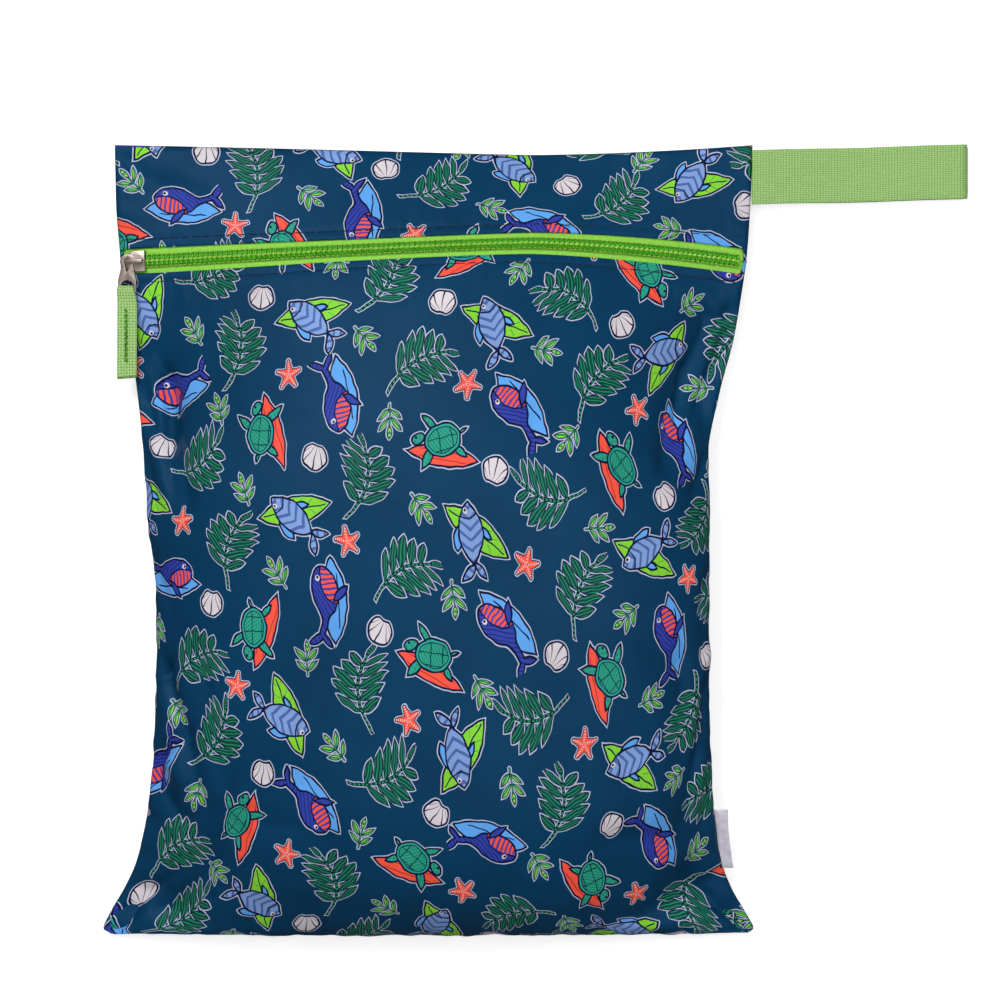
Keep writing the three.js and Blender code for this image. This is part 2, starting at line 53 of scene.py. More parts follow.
# Camera, floor and light. The bag lies on its back on a pale floor, and the camera looks straight
# down on it through a long lens, so that 1000 pixels span 460 mm at the level of the side seams.
metres_per_pixel = 0.00046
bag_pixel = (431.0, 541.0)
seam_level = 0.016
camera_height = 3.2
lens_data = bpy.data.cameras.new("photo_camera")
lens_data.sensor_width = 36.0
lens_data.lens = 36.0 * (camera_height - seam_level) / (1000 * metres_per_pixel)
lens_data.clip_end = 20.0
photo_camera = bpy.data.objects.new("photo_camera", lens_data)
photo_camera.location = (
    (500 - bag_pixel[0]) * metres_per_pixel,
    (bag_pixel[1] - 500) * metres_per_pixel,
    camera_height,
)
scene.collection.objects.link(photo_camera)
scene.camera = photo_camera


def object_from(name, shape):
    mesh = bpy.data.meshes.new(name)
    shape.to_mesh(mesh)
    shape.free()
    made = bpy.data.objects.new(name, mesh)
    scene.collection.objects.link(made)
    return made


floor_shape = bmesh.new()
bmesh.ops.create_grid(floor_shape, x_segments=8, y_segments=8, size=6.0)
studio_floor = object_from("studio_floor", floor_shape)

# The floor is white to the camera and greyer to bounced light, and dark in reflections, so that it
# throws no haze on the cloth's steep sides.
seen_white, bounced_grey, mirrored_grey, seen_glow = 0.90, 0.40, 0.04, 0.5
floor_paint = bpy.data.materials.new("studio_white")
floor_paint.use_nodes = True
floor_tree = floor_paint.node_tree
floor_shader = floor_tree.nodes["Principled BSDF"]
floor_rays = floor_tree.nodes.new("ShaderNodeLightPath")
floor_seen = floor_rays.outputs["Is Camera Ray"]
floor_bounce = floor_tree.nodes.new("ShaderNodeMath")
floor_bounce.operation = "MULTIPLY_ADD"
floor_bounce.inputs[1].default_value = mirrored_grey - bounced_grey
floor_bounce.inputs[2].default_value = bounced_grey
floor_shade = floor_tree.nodes.new("ShaderNodeMix")
floor_shade.data_type = "RGBA"
floor_shade.inputs[7].default_value = (seen_white, seen_white, seen_white, 1)
floor_glow = floor_tree.nodes.new("ShaderNodeMath")
floor_glow.operation = "MULTIPLY"
floor_glow.inputs[1].default_value = seen_glow
for wire_from, wire_to in (
    (floor_rays.outputs["Is Glossy Ray"], floor_bounce.inputs[0]),
    (floor_bounce.outputs[0], floor_shade.inputs[6]),
    (floor_seen, floor_shade.inputs[0]),
    (floor_seen, floor_glow.inputs[0]),
    (floor_shade.outputs[2], floor_shader.inputs["Base Color"]),
    (floor_glow.outputs[0], floor_shader.inputs["Emission Strength"]),
):
    floor_tree.links.new(wire_from, wire_to)
floor_shader.inputs["Roughness"].default_value = 0.9
floor_shader.inputs["Specular IOR Level"].default_value = 0.1
studio_floor.data.materials.append(floor_paint)


def softbox(name, place, aim, width, watts):
    lamp = bpy.data.lights.new(name, "AREA")
    lamp.shape = "SQUARE"
    lamp.size = width
    lamp.energy = watts
    holder = bpy.data.objects.new(name, lamp)
    holder.location = place
    holder.rotation_euler = (Vector(aim) - Vector(place)).to_track_quat("-Z", "Y").to_euler()
    scene.collection.objects.link(holder)


softbox("key_softbox", (-0.75, 1.25, 2.0), (0, 0, 0), 1.0, 38)
softbox("fill_softbox", (1.35, 0.1, 2.5), (0, 0, 0), 1.4, 27)
softbox("front_softbox", (-0.85, -0.8, 2.8), (0, 0, 0), 1.2, 10)
studio_air = bpy.data.worlds.new("studio_air")
studio_air.use_nodes = True
studio_air.node_tree.nodes["Background"].inputs["Color"].default_value = (1, 1, 1, 1)
studio_air.node_tree.nodes["Background"].inputs["Strength"].default_value = 0.29
scene.world = studio_air

# The filled bag. Printed polyester, laminated on its back, is sewn along its edges and filled lightly,
# so the front swells, the back flattens on the floor and the sides are drawn in. The table has a row
# for each section up the cloth: cloth share, height at the side seams and in the middle, reach of the
# left and right seams, level of the seams, of the sheet between them and of the front's middle, drop
# of the back, and how the front and the back fall to the side seams.
bag_width, bag_height, bag_thickness = 0.300, 0.365, 0.076
cloth_wall, panel_gap = 0.0012, 0.0003
zip_at = 0.855
crown_power, bow_power, bow_skew = 2.4, 1.35, 0.32
bag_sections = np.array([
    (0.000, 0.0045, 0.0075, -0.985, 0.975, 0.065, 0.300, 0.300, 0.00, 1.60, 1.50),
    (0.022, 0.0110, 0.0085, -1.008, 0.992, 0.065, 0.300, 0.395, 0.10, 1.60, 1.50),
    (0.045, 0.0320, 0.0140, -0.985, 0.965, 0.080, 0.310, 0.495, 0.20, 1.50, 1.35),
    (0.070, 0.060, 0.0265, -0.945, 0.925, 0.110, 0.320, 0.600, 0.29, 1.35, 1.20),
    (0.105, 0.094, 0.0500, -0.906, 0.893, 0.160, 0.340, 0.725, 0.38, 1.10, 1.10),
    (0.160, 0.149, 0.1020, -0.872, 0.869, 0.240, 0.370, 0.850, 0.50, 0.85, 0.90),
    (0.220, 0.209, 0.1600, -0.851, 0.858, 0.310, 0.390, 0.925, 0.58, 0.72, 0.80),
    (0.320, 0.313, 0.2780, -0.836, 0.848, 0.380, 0.420, 0.980, 0.62, 0.66, 0.75),
    (0.420, 0.415, 0.3950, -0.832, 0.846, 0.400, 0.430, 1.000, 0.64, 0.64, 0.75),
    (0.520, 0.515, 0.5150, -0.857, 0.849, 0.370, 0.430, 0.995, 0.64, 0.66, 0.75),
    (0.610, 0.605, 0.6200, -0.877, 0.848, 0.300, 0.410, 0.950, 0.60, 0.78, 0.80),
    (0.690, 0.685, 0.7100, -0.900, 0.884, 0.200, 0.370, 0.860, 0.54, 1.25, 0.90),
    (0.760, 0.757, 0.7850, -0.925, 0.930, 0.160, 0.335, 0.750, 0.48, 1.50, 0.80),
    (0.820, 0.818, 0.8432, -0.950, 0.955, 0.165, 0.300, 0.625, 0.42, 1.80, 0.72),
    (0.855, 0.8515, 0.8722, -0.953, 0.967, 0.170, 0.275, 0.540, 0.38, 1.80, 0.72),
    (0.925, 0.922, 0.9290, -0.967, 0.980, 0.150, 0.235, 0.375, 0.26, 1.80, 0.72),
    (1.000, 1.000, 0.9865, -0.972, 0.988, 0.120, 0.200, 0.200, 0.00, 1.90, 1.00),
])
section_columns = (
    "cloth up up_mid left right seam seam_mid crest back front_fall back_fall".split()
)
# Folds and dents of the front: start and end, as shares of the cloth's width and height, then width
# and depth as shares of the thickness. A negative depth is a ridge.
front_folds = [
    (0.055, 0.70, 0.095, 0.56, 0.12, 0.060),
    (0.110, 0.36, 0.160, 0.22, 0.12, 0.050),
    (0.950, 0.77, 0.900, 0.60, 0.12, 0.060),
    (0.920, 0.36, 0.930, 0.18, 0.11, 0.045),
    (0.100, 0.04, 0.170, 0.16, 0.16, 0.070),
    (0.840, 0.05, 0.940, 0.10, 0.14, 0.070),
    (0.840, 0.025, 0.970, 0.045, 0.12, -0.040),
    (0.050, 0.975, 0.120, 0.93, 0.14, 0.030),
]


def section_value(column, cloth):
    """A column of the table at a cloth share, by a curve through its rows that never overshoots."""
    at = bag_sections[:, 0]
    value = bag_sections[:, section_columns.index(column)]
    slope = np.diff(value) / np.diff(at)
    tangent = np.empty_like(value)
    tangent[0], tangent[-1] = slope[0], slope[-1]
    before, after = slope[:-1], slope[1:]
    same = before * after > 0
    tangent[1:-1] = np.where(same, 2 * before * after / np.where(same, before + after, 1), 0)
    i = np.clip(np.searchsorted(at, cloth, side="left") - 1, 0, len(at) - 2)
    step = at[i + 1] - at[i]
    t = np.clip((cloth - at[i]) / step, 0, 1)
    rise = t * t * (3 - 2 * t)
    bend = tangent[i] * t * (1 - t) ** 2 - tangent[i + 1] * t * t * (1 - t)
    return value[i] * (1 - rise) + value[i + 1] * rise + step * bend


def filled_point(side, across, cloth):
    hump = 1 - np.abs(across) ** crown_power
    bow = 1 - np.abs((across - bow_skew) / (1 - bow_skew * across)) ** bow_power
    left, right = section_value("left", cloth), section_value("right", cloth)
    up, up_mid = section_value("up", cloth), section_value("up_mid", cloth)
    seam, seam_mid = section_value("seam", cloth), section_value("seam_mid", cloth)
    x = (left + (right - left) * (across + 1) / 2) * bag_width / 2
    y = (up + (up_mid - up) * bow - 0.5) * bag_height
    sheet_z = (seam + (seam_mid - seam) * hump) * bag_thickness
    swell = np.maximum(hump, 0) ** section_value(side + "_fall", cloth)
    if side == "front":
        rise = (section_value("crest", cloth) - seam_mid) * swell
        z = sheet_z + panel_gap / 2 + rise * bag_thickness
    else:
        drop = section_value("back", cloth) * swell
        z = np.maximum(cloth_wall, sheet_z - panel_gap / 2 - drop * bag_thickness)
    return np.stack([x, y, z], axis=-1)


def length_along(points):
    return np.concatenate([[0], np.cumsum(np.linalg.norm(np.diff(points, axis=0), axis=1))])


def filled_grid(side, shares, cloths):
    """Inner face of the filled cloth on a grid, with the cloth's width measured along its curve."""
    across = -np.cos(np.linspace(0, math.pi, 49))
    rows = []
    for cloth in cloths:
        line = filled_point(side, across, np.full_like(across, cloth))
        run = length_along(line)
        at = np.interp(shares * run[-1], run, across)
        rows.append(filled_point(side, at, np.full_like(at, cloth)))
    return np.array(rows)


def fold_depth(share, cloth):
    depth = np.zeros_like(share)
    for across, up, to_across, to_up, width, deep in front_folds:
        start = np.array([across * bag_width, up * bag_height])
        run = np.array([to_across * bag_width, to_up * bag_height]) - start
        from_x, from_y = share * bag_width - start[0], cloth * bag_height - start[1]
        along = np.clip((from_x * run[0] + from_y * run[1]) / (run @ run), 0, 1)
        away = np.hypot(from_x - along * run[0], from_y - along * run[1]) / (width * bag_thickness)
        depth += deep * bag_thickness * np.exp(-away * away)
    from_seam = np.minimum(np.minimum(share, 1 - share), np.minimum(cloth, 1 - cloth)) / 0.05
    return depth * np.minimum(1, from_seam ** 2)


def grid_normals(points):
    across = np.gradient(points, axis=1)
    up = np.gradient(points, axis=0)
    normal = np.cross(across, up)
    return normal / np.maximum(np.linalg.norm(normal, axis=2, keepdims=True), 1e-12)


# The cloth as it settles. Front and back are sewn together round the edge, the cloth is a little wider
# than the filled form needs, and the air inside presses it out, so it takes small soft dents.
grid_columns, grid_rows = 92, 116
grid_shares = np.linspace(0, 1, grid_columns + 1)
grid_cloths = np.linspace(0, 1, grid_rows + 1)
share_map, cloth_map = np.meshgrid(grid_shares, grid_cloths)
front_form = filled_grid("front", grid_shares, grid_cloths)
back_form = filled_grid("back", grid_shares, grid_cloths)
front_form = front_form - grid_normals(front_form) * fold_depth(share_map, cloth_map)[..., None]
seam_line = (front_form + back_form) / 2
on_edge = (share_map == 0) | (share_map == 1) | (cloth_map == 0) | (cloth_map == 1)
front_form = np.where(on_edge[..., None], seam_line, front_form)
back_form = np.where(on_edge[..., None], seam_line, back_form)


def grid_order(shape, columns, rows, size=0.5):
    """Column and row of each vertex of a bmesh grid."""
    shape.verts.ensure_lookup_table()
    places = np.array([v.co[:2] for v in shape.verts]) / (2 * size) + 0.5
    return np.rint(places * (columns, rows)).astype(int)


pillow = bmesh.new()
for form in (front_form, back_form):
    half = bmesh.new()
    bmesh.ops.create_grid(half, x_segments=grid_columns, y_segments=grid_rows, size=0.5)
    for vert, (column, row) in zip(half.verts, grid_order(half, grid_columns, grid_rows)):
        vert.co = form[row, column]
    if form is back_form:
        bmesh.ops.reverse_faces(half, faces=half.faces)
    half_mesh = bpy.data.meshes.new("half")
    half.to_mesh(half_mesh)
    half.free()
    pillow.from_mesh(half_mesh)
    bpy.data.meshes.remove(half_mesh)
tag = pillow.verts.layers.int.new("place")
for index, vert in enumerate(pillow.verts):
    vert[tag] = index
bmesh.ops.remove_doubles(pillow, verts=pillow.verts, dist=1e-6)
pillow_cloth = object_from("pillow", pillow)
pillow_mesh = pillow_cloth.data
place_of = np.empty(len(pillow_mesh.vertices), dtype=np.int32)
pillow_mesh.attributes["place"].data.foreach_get("value", place_of)

# Cut size: the cloth is a little wider and longer than the filled form takes up.
spare_width, spare_length = 1.035, 1.012
half_count = share_map.size
all_shares = np.concatenate([share_map.ravel(), share_map.ravel()])[place_of]
all_cloths = np.concatenate([cloth_map.ravel(), cloth_map.ravel()])[place_of]
is_front = place_of < half_count
placed = np.empty(len(place_of) * 3)
pillow_mesh.vertices.foreach_get("co", placed)
placed = placed.reshape(-1, 3)
pillow_cloth.shape_key_add(name="filled")
cut = pillow_cloth.shape_key_add(name="cut")
cut_places = placed * (spare_width, spare_length, 1)
cut.data.foreach_set("co", cut_places.ravel())
cut.value = 0


def from_edge(share, cloth):
    """Distance of a place on the cloth from its nearest seam."""
    from_side = np.minimum(share, 1 - share) * bag_width
    return np.minimum(from_side, np.minimum(cloth, 1 - cloth) * bag_height)


# The seams, a strip along the zip and a spot round the slider are held where they are.
zip_strip, slider_reach = 0.014, 0.050
beside_slider = np.array((-0.14, 0.115))
seam_hold = np.where(from_edge(all_shares, all_cloths) < 0.001, 1.0, 0.0)
from_zip = np.abs(all_cloths - zip_at) * bag_height
zip_hold = np.clip((zip_strip - from_zip) / 0.006, 0, 1)
from_slider = np.hypot(placed[:, 0] - beside_slider[0], placed[:, 1] - beside_slider[1])
slider_hold = np.clip((slider_reach - from_slider) / 0.02, 0, 1)
held = np.maximum(seam_hold, np.where(is_front, np.maximum(zip_hold, slider_hold), 0))
pins = pillow_cloth.vertex_groups.new(name="held")
for level in np.unique(np.round(held, 2)):
    if level > 0:
        chosen = np.flatnonzero(np.round(held, 2) == level).tolist()
        pins.add(chosen, float(level), "REPLACE")

fabric = pillow_cloth.modifiers.new("settle", "CLOTH")
fabric.settings.quality = 5
fabric.settings.mass = 0.15
fabric.settings.tension_stiffness = 20
fabric.settings.compression_stiffness = 20
fabric.settings.shear_stiffness = 8
fabric.settings.bending_stiffness = 0.6
fabric.settings.air_damping = 2
fabric.settings.use_pressure = True
fabric.settings.uniform_pressure_force = 4
fabric.settings.effector_weights.gravity = 0
fabric.settings.vertex_group_mass = "held"
fabric.settings.rest_shape_key = cut
fabric.collision_settings.use_self_collision = False
settling_frames = 24
for number in range(1, 1 + settling_frames):
    scene.frame_set(number)
settled = np.empty(len(place_of) * 3)
settled_mesh = pillow_cloth.evaluated_get(bpy.context.evaluated_depsgraph_get()).to_mesh()
settled_mesh.vertices.foreach_get("co", settled)
settled = settled.reshape(-1, 3)
scene.frame_set(1)
bpy.data.objects.remove(pillow_cloth)

most_move = 0.009
move = settled - placed
move *= np.minimum(1, most_move / np.maximum(np.linalg.norm(move, axis=1), 1e-9))[:, None]
all_points = np.concatenate([front_form.reshape(-1, 3), back_form.reshape(-1, 3)])
kept = np.zeros(len(all_points), bool)
all_points[place_of] = placed + move
kept[place_of] = True
front_points, back_points = all_points[:half_count], all_points[half_count:]
lone_front, lone_back = ~kept[:half_count], ~kept[half_count:]
front_points[lone_front] = back_points[lone_front]
back_points[lone_back] = front_points[lone_back]
back_points[:, 2] = np.maximum(back_points[:, 2], cloth_wall)
cloth_grids = {
    "front": front_points.reshape(grid_rows + 1, grid_columns + 1, 3),
    "back": back_points.reshape(grid_rows + 1, grid_columns + 1, 3),
}


def settled_point(side, share, cloth):
    """Smooth point of the settled cloth's inner face, from the sixteen grid points round it."""
    points = cloth_grids[side]
    result = 0
    weights = []
    for value, count in ((share, grid_columns), (cloth, grid_rows)):
        at = np.clip(value, 0, 1) * count
        base = np.clip(np.floor(at).astype(int), 0, count - 1)
        t = at - base
        weights.append((base, (
            (-t + 2 * t * t - t ** 3) / 2,
            (2 - 5 * t * t + 3 * t ** 3) / 2,
            (t + 4 * t * t - 3 * t ** 3) / 2,
            (t ** 3 - t * t) / 2,
        ), count))
    (column, column_weights, columns), (row, row_weights, rows) = weights
    for i, row_weight in enumerate(row_weights):
        for j, column_weight in enumerate(column_weights):
            near = points[np.clip(row + i - 1, 0, rows), np.clip(column + j - 1, 0, columns)]
            result = result + (row_weight * column_weight)[..., None] * near
    return result


def unit(vectors):
    return vectors / np.maximum(np.linalg.norm(vectors, axis=-1, keepdims=True), 1e-12)


def cloth_frame(side, share, cloth):
    """Point of the cloth, with the directions across it, up it and out of it."""
    step = 0.4
    s_step, c_step = step / grid_columns, step / grid_rows
    across = settled_point(side, np.minimum(share + s_step, 1), cloth)
    across = across - settled_point(side, np.maximum(share - s_step, 0), cloth)
    up = settled_point(side, share, np.minimum(cloth + c_step, 1))
    up = up - settled_point(side, share, np.maximum(cloth - c_step, 0))
    out = unit(np.cross(across, up)) * (1 if side == "front" else -1)
    return settled_point(side, share, cloth), unit(across), unit(up), out


# Puckers. Sewing draws the cloth together, so it ripples beside a seam, and the ripples soon die away.
# Each wave has a length in metres and a phase.
pucker_waves = [(0.0093, 0.3), (0.0151, 1.9), (0.0237, 4.4), (0.0389, 2.7)]


def ripple(run, shift=0.0):
    """Uneven ripple along a seam, from about -1 to 1."""
    total = 0
    for number, (length, phase) in enumerate(pucker_waves):
        wander = 0.9 * np.sin(2 * math.pi * run / (length * 7.3) + phase + shift)
        swing = np.sin(2 * math.pi * run / length + phase * 3 + shift * 5 + wander)
        total = total + swing * (0.7 + 0.2 * number)
    return total / 3.2


def seam_pucker(side, share, cloth):
    shift = 0.0 if side == "front" else 1.3
    height = 0
    for gap, run, size, key in (
        (share * bag_width, cloth * bag_height, 0.0008, 0.0),
        ((1 - share) * bag_width, cloth * bag_height, 0.0008, 2.1),
        (cloth * bag_height, share * bag_width, 0.0007, 3.7),
        ((1 - cloth) * bag_height, share * bag_width, 0.0005, 5.2),
    ):
        reach = np.exp(-(gap / 0.013) ** 2) * np.minimum(1, gap / 0.003)
        height = height + size * reach * ripple(run + gap * 0.25, shift + key)
    return height


# Creases. The filling draws the cloth in at the sides and corners, so it breaks into narrow folds. Each
# row has its start near a seam and its end on the front, as shares of the cloth's width and height,
# then its half width and its depth in metres. A negative depth is a ridge.
creases = [
    (0.030, 0.340, 0.090, 0.262, 0.0042, 0.0050),
    (0.085, 0.266, 0.130, 0.165, 0.0046, 0.0040),
    (0.008, 0.232, 0.084, 0.264, 0.0040, 0.0046),
    (0.020, 0.215, 0.110, 0.140, 0.0052, 0.0036),
    (0.060, 0.236, 0.092, 0.205, 0.0065, -0.0028),
    (0.000, 0.319, 0.065, 0.371, 0.0040, 0.0022),
    (0.000, 0.483, 0.060, 0.410, 0.0045, 0.0018),
    (0.000, 0.698, 0.058, 0.600, 0.0050, 0.0032),
    (0.000, 0.629, 0.050, 0.520, 0.0040, 0.0024),
    (0.048, 0.705, 0.070, 0.530, 0.0048, 0.0042),
    (0.000, 0.991, 0.080, 0.940, 0.0050, 0.0018),
    (0.989, 0.983, 0.890, 0.960, 0.0050, 0.0015),
    (1.000, 0.819, 0.955, 0.750, 0.0045, 0.0022),
    (0.985, 0.760, 0.955, 0.640, 0.0052, 0.0046),
    (0.930, 0.712, 0.930, 0.615, 0.0036, 0.0034),
    (1.000, 0.647, 0.960, 0.690, 0.0040, 0.0026),
    (1.000, 0.621, 0.930, 0.540, 0.0045, 0.0024),
    (1.000, 0.483, 0.950, 0.410, 0.0045, 0.0017),
    (1.000, 0.379, 0.950, 0.328, 0.0045, -0.0014),
    (0.985, 0.325, 0.935, 0.190, 0.0050, 0.0042),
    (1.000, 0.259, 0.955, 0.135, 0.0045, 0.0026),
    (0.989, 0.026, 0.915, 0.120, 0.0064, 0.0048),
    (1.000, 0.095, 0.900, 0.075, 0.0050, 0.0018),
    (0.011, 0.017, 0.085, 0.110, 0.0064, 0.0048),
    (0.008, 0.075, 0.110, 0.060, 0.0045, 0.0020),
    (0.076, 0.052, 0.175, 0.030, 0.0050, 0.0022),
    (0.109, 0.000, 0.135, 0.075, 0.0050, 0.0018),
    (0.228, 0.009, 0.239, 0.085, 0.0050, 0.0016),
    (0.348, 0.000, 0.337, 0.070, 0.0045, 0.0012),
    (0.500, 0.009, 0.489, 0.105, 0.0050, 0.0014),
    (0.641, 0.006, 0.652, 0.095, 0.0045, 0.0012),
    (0.761, 0.007, 0.761, 0.100, 0.0050, 0.0016),
    (0.902, 0.000, 0.880, 0.075, 0.0050, 0.0018),
]


def crease_depth(share, cloth):
    """How far the creases press the front in. One side of a crease is steep, the other long."""
    depth = 0
    for across, up, to_across, to_up, width, deep in creases:
        run = np.array([(to_across - across) * bag_width, (to_up - up) * bag_height])
        reach = np.hypot(*run)
        from_x, from_y = (share - across) * bag_width, (cloth - up) * bag_height
        along = np.clip((from_x * run[0] + from_y * run[1]) / reach ** 2, 0, 1)
        side = (from_x * run[1] - from_y * run[0]) / reach
        away = np.hypot(from_x - along * run[0], from_y - along * run[1]) / width
        away = away * np.where(side > 0, 1.6, 0.8)
        depth = depth + deep * np.exp(-away ** 1.6) * (1 - along ** 2.5)
    from_zip = np.abs(cloth - zip_at) * bag_height - zip_strip
    return depth * np.clip(from_edge(share, cloth) / 0.006, 0, 1) * np.clip(from_zip / 0.01, 0, 1)


# The cloth is turned over the seams, so each panel dips to the seam line within a few millimetres.
seam_turn, seam_lift = 0.0024, 0.0001


def panel_lift(share, cloth):
    turn = np.sin(math.pi / 2 * np.clip(from_edge(share, cloth) / seam_turn, 0, 1))
    return seam_lift + (cloth_wall - seam_lift) * turn


# Topstitching beside the zip holds the folded edge of each panel down on the zip's tape.
tape_shown, tape_width, stitch_inset = 0.0130, 0.0150, 0.0035
fold_radius = 0.0007
zip_end_margin = 0.0026


zip_step = 0.004


def zip_span(share):
    """Length of the cloth across the zip, from one step below its middle line to one above."""
    above = settled_point("front", share, np.full_like(share, zip_at + zip_step))
    under = settled_point("front", share, np.full_like(share, zip_at - zip_step))
    return np.linalg.norm(above - under, axis=-1)


def beside_zip(share, distance):
    """Cloth share at a distance above the zip's middle line, or below it if negative."""
    return zip_at + distance * 2 * zip_step / zip_span(share)


def stitch_press(share, cloth):
    """How far the topstitching presses the cloth in at a place."""
    from_zip = np.abs(cloth - zip_at) * zip_span(share) / (2 * zip_step)
    from_stitch = from_zip - tape_shown / 2 - stitch_inset
    groove = 0.00050 * np.exp(-(from_stitch / 0.0007) ** 2)
    beyond = np.clip(from_stitch / 0.004, 0, 1)
    ripples = 0.00042 * np.exp(-np.maximum(from_stitch, 0) / 0.009) * beyond
    return groove - ripples * ripple(share * bag_width * 1.9, 0.7)


def laid_grid(name, columns, rows, placed, wall, inner_side):
    """A grid laid where placed(u, v) says, with its pattern in metres and a wall's thickness."""
    shape = bmesh.new()
    pattern = shape.loops.layers.uv.new("cut_cloth")
    bmesh.ops.create_grid(shape, x_segments=columns, y_segments=rows, size=0.5)
    order = grid_order(shape, columns, rows)
    spots, run = placed(order[:, 0] / columns, order[:, 1] / rows)
    for vert, spot in zip(shape.verts, spots):
        vert.co = spot
    for face in shape.faces:
        for loop in face.loops:
            loop[pattern].uv = run[loop.vert.index]
        face.smooth = True
    piece = object_from(name, shape)
    thickness = piece.modifiers.new("thickness", "SOLIDIFY")
    thickness.thickness = wall
    thickness.offset = inner_side
    return piece


# Printed cloth. Smooth woven polyester, dyed dark teal navy and printed all over with sea creatures on
# bright leaves, ferns, shells and stars, in flat inks inside a navy line with a pale line round it. The
# drawing is worked out by nodes from the cut cloth's own millimetres, so it follows every fold.
ground_ink = (0.0012, 0.0370, 0.0950)
line_ink = (0.0025, 0.0045, 0.0330)
pale_ink = (0.4300, 0.4650, 0.6200)
lime_ink = (0.2150, 0.5950, 0.0340)
coral_ink = (0.8500, 0.0880, 0.0480)
royal_ink = (0.0290, 0.0480, 0.3400)
steel_ink = (0.1950, 0.3150, 0.6100)
sky_ink = (0.1070, 0.3420, 0.7750)
turquoise_ink = (0.0230, 0.3140, 0.2540)
emerald_ink = (0.0160, 0.2300, 0.0890)
pine_ink = (0.0044, 0.0420, 0.0540)
bone_ink = (0.6300, 0.5780, 0.6170)

sea_print = bpy.data.node_groups.new("sea_print", "ShaderNodeTree")
sea_print.interface.new_socket("Pattern", in_out="INPUT", socket_type="NodeSocketVector")
sea_print.interface.new_socket("Color", in_out="OUTPUT", socket_type="NodeSocketColor")


def set_or_link(tree, socket, value):
    if isinstance(value, (Amount, Spot)):
        tree.links.new(value.socket, socket)
    elif isinstance(value, bpy.types.NodeSocket):
        tree.links.new(value, socket)
    elif isinstance(value, tuple) and len(value) == 3 and socket.type == "RGBA":
        socket.default_value = (*value, 1)
    else:
        socket.default_value = value


def chained(tree, operation, *values):
    node = tree.nodes.new("ShaderNodeMath")
    node.operation = operation
    for socket, value in zip(node.inputs, values):
        set_or_link(tree, socket, value)
    return node.outputs[0]


def worked(operation, *values):
    return Amount(chained(sea_print, operation, *values))


class Amount:
    """A value of the drawing."""

    def __init__(self, socket):
        self.socket = socket

    def __add__(self, other):
        return worked("ADD", self, other)

    def __sub__(self, other):
        return worked("SUBTRACT", self, other)

    def __rsub__(self, other):
        return worked("SUBTRACT", other, self)

    def __mul__(self, other):
        return worked("MULTIPLY", self, other)

    def __truediv__(self, other):
        return worked("DIVIDE", self, other)


class Spot:
    """A point of the drawing, in millimetres."""

    def __init__(self, socket):
        self.socket = socket
        self.parts = None

    def vector(self, operation, other=None):
        node = sea_print.nodes.new("ShaderNodeVectorMath")
        node.operation = operation
        sea_print.links.new(self.socket, node.inputs[0])
        if other is not None:
            node.inputs[1].default_value = (*other, 1 if operation == "MULTIPLY" else 0)
        return node

    def moved(self, x, y):
        return Spot(self.vector("SUBTRACT", (x, y)).outputs[0])

    def sized(self, x, y):
        return Spot(self.vector("MULTIPLY", (x, y)).outputs[0])

    def folded(self):
        return Spot(self.vector("ABSOLUTE").outputs[0])

    def length(self):
        return Amount(self.vector("LENGTH").outputs["Value"])

    def along(self, x, y):
        return Amount(self.vector("DOT_PRODUCT", (x, y)).outputs["Value"])

    def turned(self, degrees):
        node = sea_print.nodes.new("ShaderNodeVectorRotate")
        node.rotation_type = "Z_AXIS"
        node.inputs["Angle"].default_value = -math.radians(degrees)
        sea_print.links.new(self.socket, node.inputs["Vector"])
        return Spot(node.outputs[0])

    def split(self):
        if self.parts is None:
            node = sea_print.nodes.new("ShaderNodeSeparateXYZ")
            sea_print.links.new(self.socket, node.inputs[0])
            self.parts = Amount(node.outputs[0]), Amount(node.outputs[1])
        return self.parts

    @property
    def x(self):
        return self.split()[0]

    @property
    def y(self):
        return self.split()[1]


def spot_at(x, y):
    node = sea_print.nodes.new("ShaderNodeCombineXYZ")
    set_or_link(sea_print, node.inputs[0], x)
    set_or_link(sea_print, node.inputs[1], y)
    return Spot(node.outputs[0])


def nearer(a, b):
    return worked("MINIMUM", a, b)


def further(a, b):
    return worked("MAXIMUM", a, b)


def blended(a, b, reach):
    return worked("SMOOTH_MIN", a, b, reach)


def size_of(a):
    return worked("ABSOLUTE", a)


def wave(a):
    return worked("SINE", a)


def nearest(a):
    return worked("ROUND", a)


def below(a, b):
    return worked("LESS_THAN", a, b)


def kept_between(a, least, most):
    node = sea_print.nodes.new("ShaderNodeClamp")
    set_or_link(sea_print, node.inputs[0], a)
    node.inputs[1].default_value, node.inputs[2].default_value = least, most
    return Amount(node.outputs[0])


def inked(under, over, mask):
    node = sea_print.nodes.new("ShaderNodeMix")
    node.data_type = "RGBA"
    set_or_link(sea_print, node.inputs[0], mask)
    set_or_link(sea_print, node.inputs[6], under)
    set_or_link(sea_print, node.inputs[7], over)
    return node.outputs[2]


def disc(p, x, y, radius):
    return p.moved(x, y).length() - radius


def oval(p, x, y, long, wide, turn=0.0):
    q = p.moved(x, y)
    if turn:
        q = q.turned(turn)
    near = q.sized(1 / long, 1 / wide).length()
    slope = q.sized(1 / long ** 2, 1 / wide ** 2).length()
    return near * (near - 1) / further(slope, 0.001)


def leaf(p, x, y, long, wide, turn=0.0):
    radius = (long * long + wide * wide) / (2 * wide)
    q = p.moved(x, y)
    if turn:
        q = q.turned(turn)
    return q.folded().moved(0, wide - radius).length() - radius


